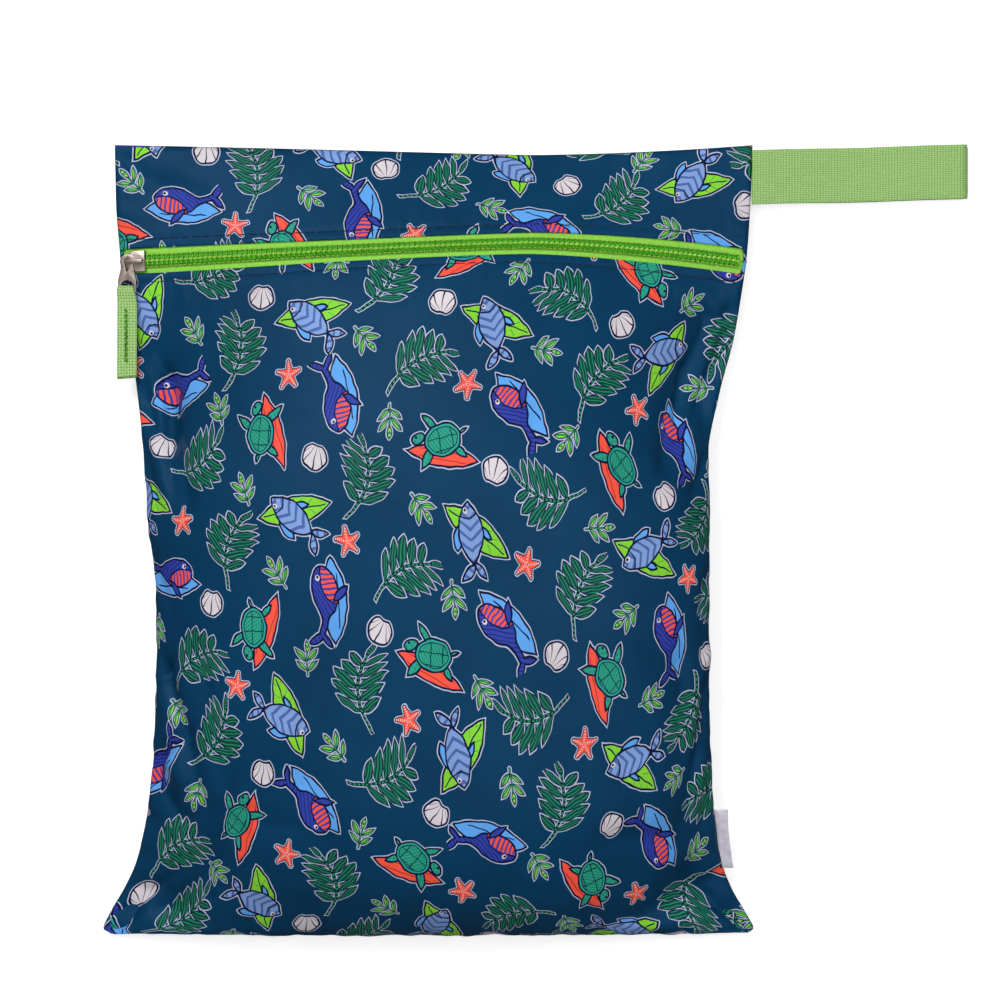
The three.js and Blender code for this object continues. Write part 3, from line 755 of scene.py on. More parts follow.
def rod(p, x, y, to_x, to_y, radius):
    reach = math.hypot(to_x - x, to_y - y)
    q = p.moved(x, y)
    run = kept_between(q.along((to_x - x) / reach ** 2, (to_y - y) / reach ** 2), 0, 1)
    return spot_at(q.x - run * (to_x - x), q.y - run * (to_y - y)).length() - radius


def filled(picture, edge, fill, line=0.84):
    """A flat ink inside a navy line."""
    return inked(inked(picture, line_ink, below(edge, 0)), fill, below(edge, -line))


def ringed(picture, edge, width=0.46):
    return inked(picture, pale_ink, below(edge, width))


def whale(p, picture):
    wave_leaf = leaf(p, 0.5, -2.5, 18.5, 6.6, 14)
    trunk = blended(oval(p, -4.5, 0.5, 10.5, 6.6, 8), rod(p, 4, 2.4, 12.2, 6.6, 1.7), 5.0)
    flukes = nearer(leaf(p, 13.9, 10.2, 4.9, 1.9, 75), leaf(p, 15.4, 5.4, 4.6, 1.8, -28))
    body = blended(trunk, flukes, 1.2)
    flipper = leaf(p, -1.5, -6.2, 5.6, 2.0, 62)
    picture = ringed(picture, nearer(nearer(wave_leaf, body), flipper))
    picture = filled(picture, wave_leaf, sky_ink)
    vein = size_of(p.moved(0.5, -2.5).turned(14).y + 2.2) - 0.3
    picture = inked(picture, line_ink, below(further(vein, wave_leaf + 2), 0))
    belly = oval(p, -8.5, -7.0, 11.5, 8.2, 18)
    stripes = inked(coral_ink, royal_ink, below(wave(p.along(2.9, 0.6)), -0.25))
    back = inked(royal_ink, (0.013, 0.019, 0.162), below(wave(p.along(1.3, 3.4)), -0.62))
    picture = filled(picture, body, inked(back, stripes, below(belly, -0.5)))
    picture = inked(picture, line_ink, below(further(size_of(belly) - 0.28, body), 0))
    picture = filled(picture, flipper, royal_ink)
    picture = inked(picture, bone_ink, below(disc(p, -10.2, 2.4, 1.15), 0))
    return inked(picture, line_ink, below(disc(p, -10.5, 2.3, 0.62), 0))


def fish(p, picture):
    frond = leaf(p, -1.0, -1.5, 18.4, 6.2, -38)
    tail = nearer(leaf(p, 13.0, 7.2, 4.9, 2.1, 60), leaf(p, 13.8, 1.6, 4.7, 2.0, -22))
    creature = blended(leaf(p, -1.5, 1.2, 12.4, 6.2, 12), tail, 1.4)
    fins = nearer(leaf(p, -1.2, 7.4, 6.0, 2.6, 24), leaf(p, 1.0, -5.2, 4.4, 1.7, -30))
    picture = ringed(picture, nearer(nearer(frond, creature), fins))
    picture = filled(picture, frond, lime_ink)
    q = p.moved(-1.0, -1.5).turned(-38)
    aside = size_of(q.y)
    veins = size_of(wave(aside * 0.75 - q.x * 0.55)) - 0.13
    veins = further(further(veins, frond + 1.2), 1.1 - aside)
    picture = inked(picture, emerald_ink, below(veins, 0))
    picture = inked(picture, line_ink, below(further(aside - 0.3, frond + 1.6), 0))
    picture = filled(picture, fins, sky_ink)
    r = p.moved(-1.5, 1.2).turned(12)
    bands = below(wave(r.x * 1.5 + size_of(r.y) * 1.1), -0.45)
    scales = inked(steel_ink, (0.069, 0.122, 0.352), bands)
    picture = filled(picture, creature, scales)
    gill = further(size_of(disc(p, -13.2, -0.6, 6.3)) - 0.32, creature + 0.4)
    picture = inked(picture, line_ink, below(gill, 0))
    picture = inked(picture, bone_ink, below(disc(p, -10.2, 0.9, 1.05), 0))
    return inked(picture, line_ink, below(disc(p, -10.4, 0.9, 0.55), 0))


def turtle(p, picture):
    petal = leaf(p, 0.0, -4.2, 17.8, 4.8, -12)
    back = oval(p, 0.5, 2.2, 9.0, 7.0, 10)
    limbs = nearer(leaf(p, -6.8, -4.4, 6.4, 2.3, 56), leaf(p, 8.2, -2.6, 4.8, 1.9, -42))
    limbs = nearer(limbs, leaf(p, -5.2, 9.4, 5.6, 2.0, -44))
    limbs = nearer(limbs, leaf(p, 10.2, 5.2, 2.6, 1.1, 28))
    limbs = nearer(limbs, oval(p, -10.8, 3.4, 3.7, 2.6, 30))
    picture = ringed(picture, nearer(nearer(petal, back), limbs))
    picture = filled(picture, petal, coral_ink)
    q = p.moved(0.0, -4.2).turned(-12)
    stripe = further(size_of(size_of(q.y) - 1.7) - 0.22, petal + 1.3)
    picture = inked(picture, (0.392, 0.021, 0.025), below(stripe, 0))
    spots = wave(p.along(2.1, 1.2)) * wave(p.along(-1.0, 2.2))
    picture = filled(picture, limbs, inked(turquoise_ink, emerald_ink, below(spots, -0.25)))
    plates = size_of(wave(p.along(0.52, 0.09) + 0.35)) - 0.11
    plates = nearer(plates, size_of(wave(p.along(-0.1, 0.62) + 1.3)) - 0.12)
    hatch = inked(turquoise_ink, emerald_ink, below(wave(p.along(3.4, 3.0)), -0.35))
    cover = inked(hatch, line_ink, below(plates, 0))
    picture = filled(picture, back, inked(turquoise_ink, cover, below(back, -1.9)))
    picture = inked(picture, line_ink, below(size_of(back + 1.9) - 0.2, 0))
    return inked(picture, line_ink, below(disc(p, -11.8, 4.0, 0.62), 0))


def fern(p, picture, bend):
    bow = spot_at(p.x - p.y * p.y * bend, p.y)
    away = size_of(bow.x)
    step = 4.7
    row = kept_between(nearest((bow.y - away * 0.62) / step), -2, 2)
    reach = 1.16 - size_of(row + 0.4) * 0.17
    q = spot_at(away / reach, (bow.y - row * step) / reach)
    blade = leaf(q, 5.9, 3.7, 7.0, 2.2, 32) * reach
    stem = further(away - 0.75, size_of(bow.y + 1.5) - 16.0)
    tip = leaf(bow, 0, 16.3, 3.6, 1.5, 90)
    picture = ringed(picture, nearer(nearer(blade, stem), tip), 0.42)
    hatch = inked(emerald_ink, pine_ink, below(wave(q.along(2.6, -4.2)), 0.42))
    picture = filled(picture, nearer(blade, tip), hatch, 0.42)
    bars = inked(emerald_ink, line_ink, below(wave(bow.y * 3.4), -0.2))
    return filled(picture, stem, bars, 0.3)


def scallop(p, picture):
    fan = further(oval(p, 0, 0.4, 6.2, 5.8), 6.8 - p.moved(0, -11.4).length())
    picture = ringed(picture, fan)
    q = p.moved(0, -5.6)
    ribs = size_of(wave(q.x / further(q.y, 0.6) * 6.0)) - 0.22
    cover = inked(bone_ink, line_ink, below(further(ribs, 2.0 - q.y), 0))
    return filled(picture, fan, cover)


def star(p, picture):
    angle = worked("ARCTAN2", p.y, p.x)
    fifth = 2 * math.pi / 5
    off = size_of(angle - nearest(angle / fifth) * fifth)
    far = p.length()
    arm = spot_at(far * worked("COSINE", off), far * wave(off))
    edge = rod(arm, 0, 0, 5.6, 0, 1.0) - further(1.9 - far * 0.36, 0)
    picture = ringed(picture, edge)
    dots = further(size_of(wave(arm.x * 3.2)) - 0.55, arm.y - 0.42)
    return filled(picture, edge, inked(coral_ink, bone_ink, below(dots, 0)), 0.45)


def sprig(p, picture):
    away = size_of(p.x)
    stem = rod(p, 0, -6.8, 0, 5.2, 0.45)
    q = spot_at(away, p.y)
    blades = nearer(leaf(q, 2.9, 1.6, 3.9, 1.25, 48), leaf(q, 2.7, -2.7, 3.6, 1.15, 40))
    blades = nearer(blades, leaf(p, 0, 5.0, 2.9, 1.2, 90))
    picture = ringed(picture, nearer(stem, blades), 0.42)
    picture = filled(picture, stem, emerald_ink, 0.2)
    hatch = inked(lime_ink, emerald_ink, below(wave(q.along(3.1, -3.1)), 0.1))
    return filled(picture, blades, hatch, 0.42)


# Motifs stand one to a cell of a turned square grid, in millimetres, with a small one at each corner. The
# lines waver a little, as drawn ones do.
cell = 38.0
print_in = sea_print.nodes.new("NodeGroupInput")
hand_shake = sea_print.nodes.new("ShaderNodeTexNoise")
hand_shake.noise_dimensions = "2D"
hand_shake.inputs["Scale"].default_value = 210
hand_shake.inputs["Detail"].default_value = 0
sea_print.links.new(print_in.outputs["Pattern"], hand_shake.inputs["Vector"])
shaken = sea_print.nodes.new("ShaderNodeVectorMath")
shaken.operation = "MULTIPLY_ADD"
shaken.inputs[1].default_value = (0.0010, 0.0010, 0)
sea_print.links.new(hand_shake.outputs["Color"], shaken.inputs[0])
sea_print.links.new(print_in.outputs["Pattern"], shaken.inputs[2])
sheet_spot = Spot(shaken.outputs[0]).sized(1000 / cell, 1000 / cell).turned(21)
grid_x, grid_y = sheet_spot.x, sheet_spot.y


def in_cell(column, line, spin, flip):
    """The drawing's own point within a cell, turned by spin and flipped where flip is negative."""
    across, up = (grid_x - column) * cell, (grid_y - line) * cell
    cosine, sine = worked("COSINE", spin), wave(spin)
    x = across * cosine + up * sine
    return spot_at(x if flip is None else x * flip, up * cosine - across * sine)


column, line = nearest(grid_x), nearest(grid_y)
kind = worked("FLOORED_MODULO", column + line * 2, 5.0)
spin = wave(column * 4.1 + line * 7.3) * 1.9 + 0.4
flip = worked("SIGN", wave(column * 2.7 + line * 5.9 + 1.0))
p = in_cell(column, line, spin, flip)
picture = ground_ink
for number, motif in enumerate((whale, (fern, 0.020), fish, (fern, -0.024), turtle)):
    drawn = motif[0](p, ground_ink, motif[1]) if isinstance(motif, tuple) else motif(p, ground_ink)
    picture = inked(picture, drawn, below(size_of(kind - number), 0.5))
corner_x, corner_y = nearest(grid_x - 0.5), nearest(grid_y - 0.5)
s = in_cell(corner_x + 0.5, corner_y + 0.5, wave(corner_x * 5.3 + corner_y * 3.1) * 3.0, None)
small_kind = worked("FLOORED_MODULO", corner_x + corner_y * 2, 4.0)
picture = inked(picture, scallop(s, picture), below(small_kind, 0.5))
picture = inked(picture, star(s, picture), below(size_of(small_kind - 2), 0.5))
picture = inked(picture, sprig(s, picture), below(size_of(size_of(small_kind - 2) - 1), 0.5))
print_out = sea_print.nodes.new("NodeGroupOutput")
sea_print.links.new(picture, print_out.inputs["Color"])

# Woven threads, for every cloth, tape and webbing: their count per metre each way gives the height of
# plain weave on the piece's own pattern, and painted shade in the gaps between threads with painted
# highlight on their crowns.
weave = bpy.data.node_groups.new("woven_threads", "ShaderNodeTree")
weave.interface.new_socket("Pattern", in_out="INPUT", socket_type="NodeSocketVector")
for name in ("Threads Across", "Threads Up"):
    weave.interface.new_socket(name, in_out="INPUT", socket_type="NodeSocketFloat")
for name in ("Height", "Painted Shading"):
    weave.interface.new_socket(name, in_out="OUTPUT", socket_type="NodeSocketFloat")


def woven(operation, *values):
    return chained(weave, operation, *values)


weave_in = weave.nodes.new("NodeGroupInput")
weave_split = weave.nodes.new("ShaderNodeSeparateXYZ")
weave.links.new(weave_in.outputs["Pattern"], weave_split.inputs[0])
crossings, rounds = [], []
for number, threads in enumerate(("Threads Across", "Threads Up")):
    count = woven("MULTIPLY", weave_split.outputs[number], weave_in.outputs[threads])
    angle = woven("MULTIPLY", count, math.pi)
    crossings.append(woven("COSINE", angle))
    rounds.append(woven("ABSOLUTE", woven("SINE", angle)))
over = woven("MULTIPLY", *crossings)
ridge = woven("MULTIPLY", *rounds)
height = woven("MULTIPLY_ADD", over, 0.35, ridge)
fibre = weave.nodes.new("ShaderNodeTexNoise")
fibre.inputs["Scale"].default_value = 900
fibre.inputs["Detail"].default_value = 3
weave.links.new(weave_in.outputs["Pattern"], fibre.inputs["Vector"])
height = woven("MULTIPLY_ADD", fibre.outputs[0], 0.4, height)
# Painted shading: dark in the gaps between threads, light on their crowns.
painted_shading = woven("POWER", ridge, 0.7)
weave_out = weave.nodes.new("NodeGroupOutput")
weave.links.new(height, weave_out.inputs["Height"])
weave.links.new(painted_shading, weave_out.inputs["Painted Shading"])


class Finish:
    """A material under way: its nodes, and short ways to add and join them."""

    def __init__(self, name, roughness, sheen=0.0, metallic=0.0):
        self.material = bpy.data.materials.new(name)
        self.material.use_nodes = True
        self.tree = self.material.node_tree
        self.shader = self.tree.nodes["Principled BSDF"]
        self.shader.inputs["Roughness"].default_value = roughness
        self.shader.inputs["Metallic"].default_value = metallic
        self.shader.inputs["Sheen Weight"].default_value = sheen
        self.shader.inputs["Sheen Roughness"].default_value = 0.4

    def node(self, kind, **settings):
        made = self.tree.nodes.new(kind)
        for key, value in settings.items():
            setattr(made, key, value)
        return made

    def pattern(self):
        return self.node("ShaderNodeUVMap", uv_map="cut_cloth").outputs[0]

    def place(self):
        return self.node("ShaderNodeTexCoord").outputs["Object"]

    def effect(self, group, **inputs):
        made = self.node("ShaderNodeGroup", node_tree=group)
        for key, value in inputs.items():
            set_or_link(self.tree, made.inputs[key.replace("_", " ")], value)
        return made.outputs

    def noise(self, place, scale, detail=2.0):
        made = self.node("ShaderNodeTexNoise")
        made.inputs["Scale"].default_value = scale
        made.inputs["Detail"].default_value = detail
        self.tree.links.new(place, made.inputs["Vector"])
        return made.outputs[0]

    def span(self, value, low, high, from_low=0.0, from_high=1.0):
        made = self.node("ShaderNodeMapRange")
        set_or_link(self.tree, made.inputs[0], value)
        for socket, number in zip(made.inputs[1:5], (from_low, from_high, low, high)):
            socket.default_value = number
        return made.outputs[0]

    def math(self, operation, *values):
        return chained(self.tree, operation, *values)

    def mottled(self, dark, light, place, scale, detail=2.0):
        """Two colours, mixed in soft spots."""
        return self.mix(dark, light, self.span(self.noise(place, scale, detail), 0, 1, 0.35, 0.65))

    def mix(self, under, over, mask, how="MIX"):
        made = self.node("ShaderNodeMix", data_type="RGBA", blend_type=how)
        set_or_link(self.tree, made.inputs[0], mask)
        set_or_link(self.tree, made.inputs[6], under)
        set_or_link(self.tree, made.inputs[7], over)
        return made.outputs[2]

    def bump(self, height, distance, strength=1.0, under=None):
        made = self.node("ShaderNodeBump")
        made.inputs["Distance"].default_value = distance
        made.inputs["Strength"].default_value = strength
        self.tree.links.new(height, made.inputs["Height"])
        if under is not None:
            self.tree.links.new(under, made.inputs["Normal"])
        return made.outputs[0]

    def join(self, **outputs):
        for key, value in outputs.items():
            set_or_link(self.tree, self.shader.inputs[key.replace("_", " ")], value)


printed_cloth = Finish("printed_cloth", 0.5)
printed_cloth.shader.inputs["Specular IOR Level"].default_value = 0.13
printed_cloth.shader.inputs["Specular Tint"].default_value = (0.45, 0.62, 0.85, 1)
cut = printed_cloth.pattern()
drawn = printed_cloth.effect(sea_print, Pattern=cut)["Color"]
threads = printed_cloth.effect(weave, Pattern=cut, Threads_Across=2600.0, Threads_Up=2200.0)
tint = printed_cloth.span(printed_cloth.noise(cut, 26, 3), 0.90, 1.10, 0.3, 0.7)
# The weave's painted shading darkens the print a little between threads and lightens it on their crowns.
tint = printed_cloth.math("MULTIPLY", tint, printed_cloth.span(threads["Painted Shading"], 0.86, 1.10))
flecks = printed_cloth.span(printed_cloth.noise(cut, 2600, 1), 0.93, 1.07, 0.3, 0.7)
tint = printed_cloth.math("MULTIPLY", tint, flecks)
colour = printed_cloth.node("ShaderNodeVectorMath", operation="SCALE")
printed_cloth.tree.links.new(drawn, colour.inputs[0])
printed_cloth.tree.links.new(tint, colour.inputs["Scale"])
creased = printed_cloth.bump(printed_cloth.noise(cut, 95, 4), 0.0011, 0.35)
creased = printed_cloth.bump(threads["Height"], 0.00005, 0.6, creased)
printed_cloth.join(
    Base_Color=colour.outputs[0],
    Roughness=printed_cloth.span(printed_cloth.noise(cut, 60, 3), 0.36, 0.46, 0.3, 0.7),
    Normal=creased,
)

# Front panel, top band and back panel. Each is cut from the printed cloth, sewn to its neighbours
# round the edge and turned right side out. Beside the zip the cloth is folded under and topstitched.
end_share = zip_end_margin / bag_width
closed_gap = 0.00015


def slot_edge(direction):
    def edge(share):
        """The folded edge at the zip, closing up past the zip's ends."""
        past_end = (np.minimum(share, 1 - share) - end_share * 0.45) / (end_share * 0.4)
        gap = closed_gap + (tape_shown / 2 - closed_gap) * np.clip(past_end, 0, 1)
        return beside_zip(share, direction * gap)
    return edge


# The back is cut further along the same cloth, so its print doesn't mirror the front's at the seams.
back_cut_from = 2.16
panel_wall = 0.0009


def cloth_piece(name, side, columns, rows, low, high, curl):
    """A panel between two lines. curl is the edge folded under at the zip: 1 high, -1 low."""
    curl_rows = 6 if curl else 0
    cloth_rows = rows - curl_rows

    def placed(u, v):
        share = u - 0.35 * np.sin(4 * math.pi * u) / (4 * math.pi)
        row = v * rows
        if curl < 0:
            flat = np.clip((row - curl_rows) / cloth_rows, 0, 1)
            turn = np.clip((curl_rows - row) / curl_rows, 0, 1)
        else:
            flat = np.clip(row / cloth_rows, 0, 1)
            turn = np.clip((row - cloth_rows) / max(curl_rows, 1), 0, 1)
        if rows > 60:
            flat = flat - 0.35 * np.sin(2 * math.pi * flat) / (2 * math.pi)
        cloth = low(share) + (high(share) - low(share)) * flat
        point, across, up, out = cloth_frame(side, share, cloth)
        lift = panel_lift(share, cloth) + seam_pucker(side, share, cloth)
        if side == "front":
            lift = lift - stitch_press(share, cloth) - crease_depth(share, cloth)
        angle = turn * math.pi * 1.05
        around = fold_radius * np.sin(angle) * (1 if curl > 0 else -1)
        under = fold_radius * (np.cos(angle) - 1)
        spots = point + out * (lift + under)[:, None] + up * around[:, None]
        if side == "back":
            spots[:, 2] = np.maximum(spots[:, 2], 0.0)
        cut_at = share * bag_width if side == "front" else (back_cut_from - share) * bag_width
        return spots, np.stack([cut_at, cloth * bag_height + around], axis=1)

    piece = laid_grid(name, columns, rows, placed, panel_wall, -1 if side == "front" else 1)
    piece.data.materials.append(printed_cloth.material)
    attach(piece, "bag")
    return piece


def bottom_line(share):
    return np.zeros_like(share)


def top_line(share):
    return np.ones_like(share)


front_cloth = cloth_piece("front_cloth", "front", 184, 196, bottom_line, slot_edge(-1), 1)
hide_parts("front_panel")
band_cloth = cloth_piece("band_cloth", "front", 184, 34, slot_edge(1), top_line, -1)
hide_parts("top_band")
back_cloth = cloth_piece("back_cloth", "back", 150, 190, bottom_line, top_line, 0)
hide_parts("back_panel")

# Zip tapes. Two strips of woven lime tape under the folded edges, with a rib beside the coil.
tape_level, tape_wall, tape_parting = -0.0003, 0.0006, 0.00012
rib_height, rib_at, rib_reach = 0.00022, 0.0040, 0.00045


def tape_piece(name, direction, node):
    def placed(u, v):
        share = end_share * 0.5 + (1 - end_share) * u
        reach = tape_parting + (tape_width - tape_parting) * (v if direction > 0 else 1 - v)
        point, _, _, out = cloth_frame("front", share, beside_zip(share, direction * reach))
        rib = rib_height * np.exp(-((reach - rib_at) / rib_reach) ** 2)
        pattern = np.stack([share * bag_width, direction * reach], axis=1)
        return point + out * (tape_level + rib)[:, None], pattern

    piece = laid_grid(name, 160, 20, placed, tape_wall, -1)
    piece.data.materials.append(zip_tape.material)
    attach(piece, "bag")
    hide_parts(node)
    return piece


zip_tape = Finish("zip_tape", 0.75)
cut = zip_tape.pattern()
threads = zip_tape.effect(weave, Pattern=cut, Threads_Across=1500.0, Threads_Up=2100.0)
# The tape's two greens are painted shade between its threads and painted highlight on their crowns.
colour = zip_tape.mix((0.190, 0.540, 0.030), (0.340, 0.800, 0.080), threads["Painted Shading"])
faded = zip_tape.span(zip_tape.noise(cut, 700, 2), 0, 0.5, 0.4, 0.75)
colour = zip_tape.mix(colour, (0.420, 0.860, 0.130), faded)
zip_tape.join(Base_Color=colour, Normal=zip_tape.bump(threads["Height"], 0.00022, 0.8))
tape_piece("tape_lower", -1, "zip_tape_lower")
tape_piece("tape_upper", 1, "zip_tape_upper")

# Zip coil. One nylon thread is wound into close turns on each tape, and the turns' heads lock into
# each other along the middle. A sewing thread runs over the turns of each side and holds them down.
# The heads are a lighter green than the turns of the same thread, a painted highlight.


def thread_finish(name, roughness, dark, light, scale, detail):
    """A plain material in two close colours, mottled on the piece's own place."""
    finish = Finish(name, roughness)
    finish.join(Base_Color=finish.mottled(dark, light, finish.place(), scale, detail))
    return finish


zip_coil = thread_finish("zip_coil", 0.32, (0.060, 0.400, 0.004), (0.090, 0.480, 0.007), 300, 2)
# The heads' lighter green is a painted highlight on the same nylon as the turns.
coil_head_painted_highlight = thread_finish("coil_head_painted_highlight", 0.3, (0.420, 0.840, 0.080), (0.520, 0.920, 0.130), 500, 2)
coil_stitch = thread_finish("coil_stitch", 0.6, (0.300, 0.740, 0.050), (0.500, 0.920, 0.130), 1200, 1)


def zip_frame(share, distance):
    return cloth_frame("front", share, beside_zip(share, np.full_like(share, distance)))


def even_shares(distance, first, pitch):
    """Shares at even steps along a line beside the zip, which stop short of its right end."""
    share = np.linspace(0.001, 0.999, 1200)
    run = length_along(zip_frame(share, distance)[0])
    return np.interp(np.arange(first, run[-1] - 0.003, pitch), run, share)


def beads(name, middles, frames, finish, segments=6, rings=5, body="bag"):
    """Rounded beads of thread or nylon, each stretched along its own three directions."""
    shape = bmesh.new()
    bmesh.ops.create_uvsphere(shape, u_segments=segments, v_segments=rings, radius=1)
    bead = np.array([v.co for v in shape.verts])
    while len(shape.verts) < len(bead) * len(middles):
        bmesh.ops.duplicate(shape, geom=shape.verts[:] + shape.edges[:] + shape.faces[:])
    spare = shape.verts[len(bead) * len(middles):]
    bmesh.ops.delete(shape, geom=spare, context="VERTS")
    spots = (middles[:, None, :] + np.einsum("nk,mki->mni", bead, frames)).reshape(-1, 3)
    for vert, spot in zip(shape.verts, spots):
        vert.co = spot
    for face in shape.faces:
        face.smooth = True
    bmesh.ops.recalc_face_normals(shape, faces=shape.faces)
    piece = object_from(name, shape)
    piece.data.materials.append(finish.material)
    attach(piece, body)
    return piece


# Distance from the zip's middle line and height above the cloth's inner face, of the turns, the heads
# and the thread that holds them, then half their length, width and height.
coil_pitch, coil_from = 0.00118, 0.0096
turn_aside, turn_lift, turn_size = 0.00155, 0.00062, (0.00150, 0.00054, 0.00092)
head_aside, head_lift, head_size = 0.00020, 0.00118, (0.00064, 0.00046, 0.00050)
hold_aside, hold_lift, hold_size = 0.00276, 0.00092, (0.00066, 0.00040, 0.00040)


def coil_line(aside, lift, stagger):
    share = even_shares(aside, coil_from + stagger, coil_pitch)
    point, across, up, out = zip_frame(share, aside)
    up = unit(up - across * (up * across).sum(axis=1, keepdims=True))
    return point + out * lift, across, up, out


def bead_frames(size, *ways):
    return np.stack([way * half for way, half in zip(ways, size)], axis=1)


for side_name, direction in (("lower", -1), ("upper", 1)):
    stagger = 0 if direction < 0 else coil_pitch / 2
    middle, across, up, out = coil_line(direction * turn_aside, turn_lift, stagger)
    lean = unit(across + up * 0.16 * direction)
    long = unit(up * direction - out * 0.22 + across * 0.14)
    frames = bead_frames(turn_size, long, lean, np.cross(long, lean))
    turns_piece = beads("coil_turns_" + side_name, middle, frames, zip_coil, 8, 6)
    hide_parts("zip_coil_" + side_name)
    middle, across, up, out = coil_line(direction * head_aside, head_lift, stagger)
    frames = bead_frames(head_size, across, up, out)
    beads("coil_heads_" + side_name, middle, frames, coil_head_painted_highlight)
    middle, across, up, out = coil_line(direction * hold_aside, hold_lift, stagger)
    frames = bead_frames(hold_size, unit(across + up * 0.35), unit(up - across * 0.35), out)
    beads("coil_stitch_" + side_name, middle, frames, coil_stitch)

# Topstitching. A row of navy thread on each side of the zip holds the folded cloth down on the tape.
# Each stitch lies half sunk in the groove that it presses.
stitch_thread = thread_finish("stitch_thread", 0.55, (0.003, 0.006, 0.022), (0.012, 0.022, 0.06), 1500, 1)
stitch_from, stitch_pitch, stitch_sunk = 0.0035, 0.0027, 0.00028
stitch_size = (0.00118, 0.00026, 0.00024)
for side_name, direction in (("lower", -1), ("upper", 1)):
    distance = direction * (tape_shown / 2 + stitch_inset)
    point, across, up, out = zip_frame(even_shares(distance, stitch_from, stitch_pitch), distance)
    middle = point + out * (cloth_wall - stitch_sunk)
    frames = bead_frames(stitch_size, across, up, out)
    beads("topstitch_" + side_name, middle, frames, stitch_thread)

# Slider and pull. Both are die-cast metal with a warm grey plating, and the pull's ring lies round the
# bridge's near post. They keep the solid model's shape, with every edge rounded as a casting's are.
slider_metal = Finish("slider_metal", 0.34, metallic=1.0)
place = slider_metal.place()
slider_metal.join(
    Base_Color=slider_metal.mottled((0.345, 0.282, 0.257), (0.295, 0.242, 0.221), place, 420, 3),
    Roughness=slider_metal.span(slider_metal.noise(place, 900, 3), 0.26, 0.38, 0.3, 0.7),
    Normal=slider_metal.bump(slider_metal.noise(place, 700, 2), 0.00001, 0.3),
)
cast_rounding = 0.00022


def cast_piece(name, node, body):
    shape = bmesh.new()
    shape.from_mesh(bpy.data.objects[node].data)
    bmesh.ops.remove_doubles(shape, verts=shape.verts, dist=2e-6)
    flat_angle, sharp_angle = math.radians(1.5), math.radians(24)
    bmesh.ops.dissolve_limit(shape, angle_limit=flat_angle, verts=shape.verts, edges=shape.edges)
    joined = [edge for edge in shape.edges if len(edge.link_faces) == 2]
    sharp = [edge for edge in joined if edge.calc_face_angle(0) > sharp_angle]
    bmesh.ops.bevel(shape, geom=sharp, offset=cast_rounding, offset_type="OFFSET", affect="EDGES",
                    segments=3, profile=0.5, material=-1, clamp_overlap=True)
    bmesh.ops.triangulate(shape, faces=[face for face in shape.faces if len(face.verts) > 4])
    for face in shape.faces:
        face.smooth = True
    piece = object_from(name, shape)
    piece.data.set_sharp_from_angle(angle=math.radians(35))
    piece.data.materials.append(slider_metal.material)
    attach(piece, body)
    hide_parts(node)
    return piece


cast_piece("slider_body", "zip_slider", "bag")
cast_piece("pull_plate", "zip_pull", "pull")

# Pull tab. A strip of narrow green webbing passes through the pull's slot and is folded on itself, and
# two close rows of darker lime stitches down its middle hold the layers together.
swivel = frame["joints"][0]
pivot_level = 0.0043
pull_out = np.array(swivel["axis"])
pull_out = pull_out / np.linalg.norm(pull_out)
pull_down = np.array([0.0, -1.0, 0.0]) - pull_out * -pull_out[1]
pull_down = pull_down / np.linalg.norm(pull_down)
pull_side = np.cross(-pull_down, pull_out)
pull_middle = np.array(swivel["pos_m"]) - pull_out * pivot_level


def pull_place(x, y, z):
    """Point in the pull's own frame: x across it, y up it from the pivot, z out of the bag."""
    return pull_middle + x[:, None] * pull_side - y[:, None] * pull_down + z[:, None] * pull_out


cord_pitch, pick_pitch = 0.00085, 0.00132
webbing = Finish("webbing", 0.7)
cut = webbing.pattern()
threads = webbing.effect(weave, Pattern=cut, Threads_Across=1 / cord_pitch, Threads_Up=1 / pick_pitch)
# The webbing's two greens are painted shade between its cords and painted highlight on their crowns.
colour = webbing.mix((0.115, 0.270, 0.045), (0.400, 0.640, 0.220), threads["Painted Shading"])
faded = webbing.span(webbing.noise(cut, 1500, 2), 0, 0.45, 0.45, 0.8)
colour = webbing.mix(colour, (0.450, 0.690, 0.260), faded)
webbing.join(Base_Color=colour, Normal=webbing.bump(threads["Height"], 0.00030, 0.75))

# The webbing's middle line, from the lower layer's end round the slot and back: up the pull from its
# pivot, and out of the bag, in metres.
tab_route = np.array([
    (-0.0538, 0.00350), (-0.0300, 0.00350), (-0.0185, 0.00340), (-0.0155, 0.00290), (-0.0135, 0.00265),
    (-0.0120, 0.00290), (-0.0111, 0.00380), (-0.0110, 0.00470), (-0.0111, 0.00560), (-0.0120, 0.00640),
    (-0.0135, 0.00660), (-0.0155, 0.00630), (-0.0185, 0.00580), (-0.0300, 0.00570), (-0.0530, 0.00570),
])


def smooth_route(route, steps):
    """Even steps along a route of a few points, rounded between them."""
    t = np.linspace(0, len(route) - 1, 800)
    i = np.clip(np.floor(t).astype(int), 0, len(route) - 2)
    f = (t - i)[:, None]
    a, b, c, d = (route[np.clip(i + k, 0, len(route) - 1)] for k in (-1, 0, 1, 2))
    bend, twist = 2 * a - 5 * b + 4 * c - d, 3 * b - a - 3 * c + d
    line = 0.5 * (2 * b + (c - a) * f + bend * f ** 2 + twist * f ** 3)
    run = length_along(line)
    at = steps * run[-1]
    return np.stack([np.interp(at, run, line[:, 0]), np.interp(at, run, line[:, 1])], axis=1), at


# The tab's webbing has wider cords than the strap's, so its pattern is laid on narrower. It is squeezed
# a little where it runs through the slot, its layers lie slightly apart sideways, and its cut end is
# a little askew.
cord_narrowing = 0.62
tab_half, tab_wall, tab_skew, layer_shift = 0.0046, 0.0009, 0.0007, 0.0002
slot_up, slot_level, tab_end = -0.0110, 0.0046, -0.0535
slot_squeeze, bar_squeeze, slot_shift = 0.0008, 0.0009, 0.0008


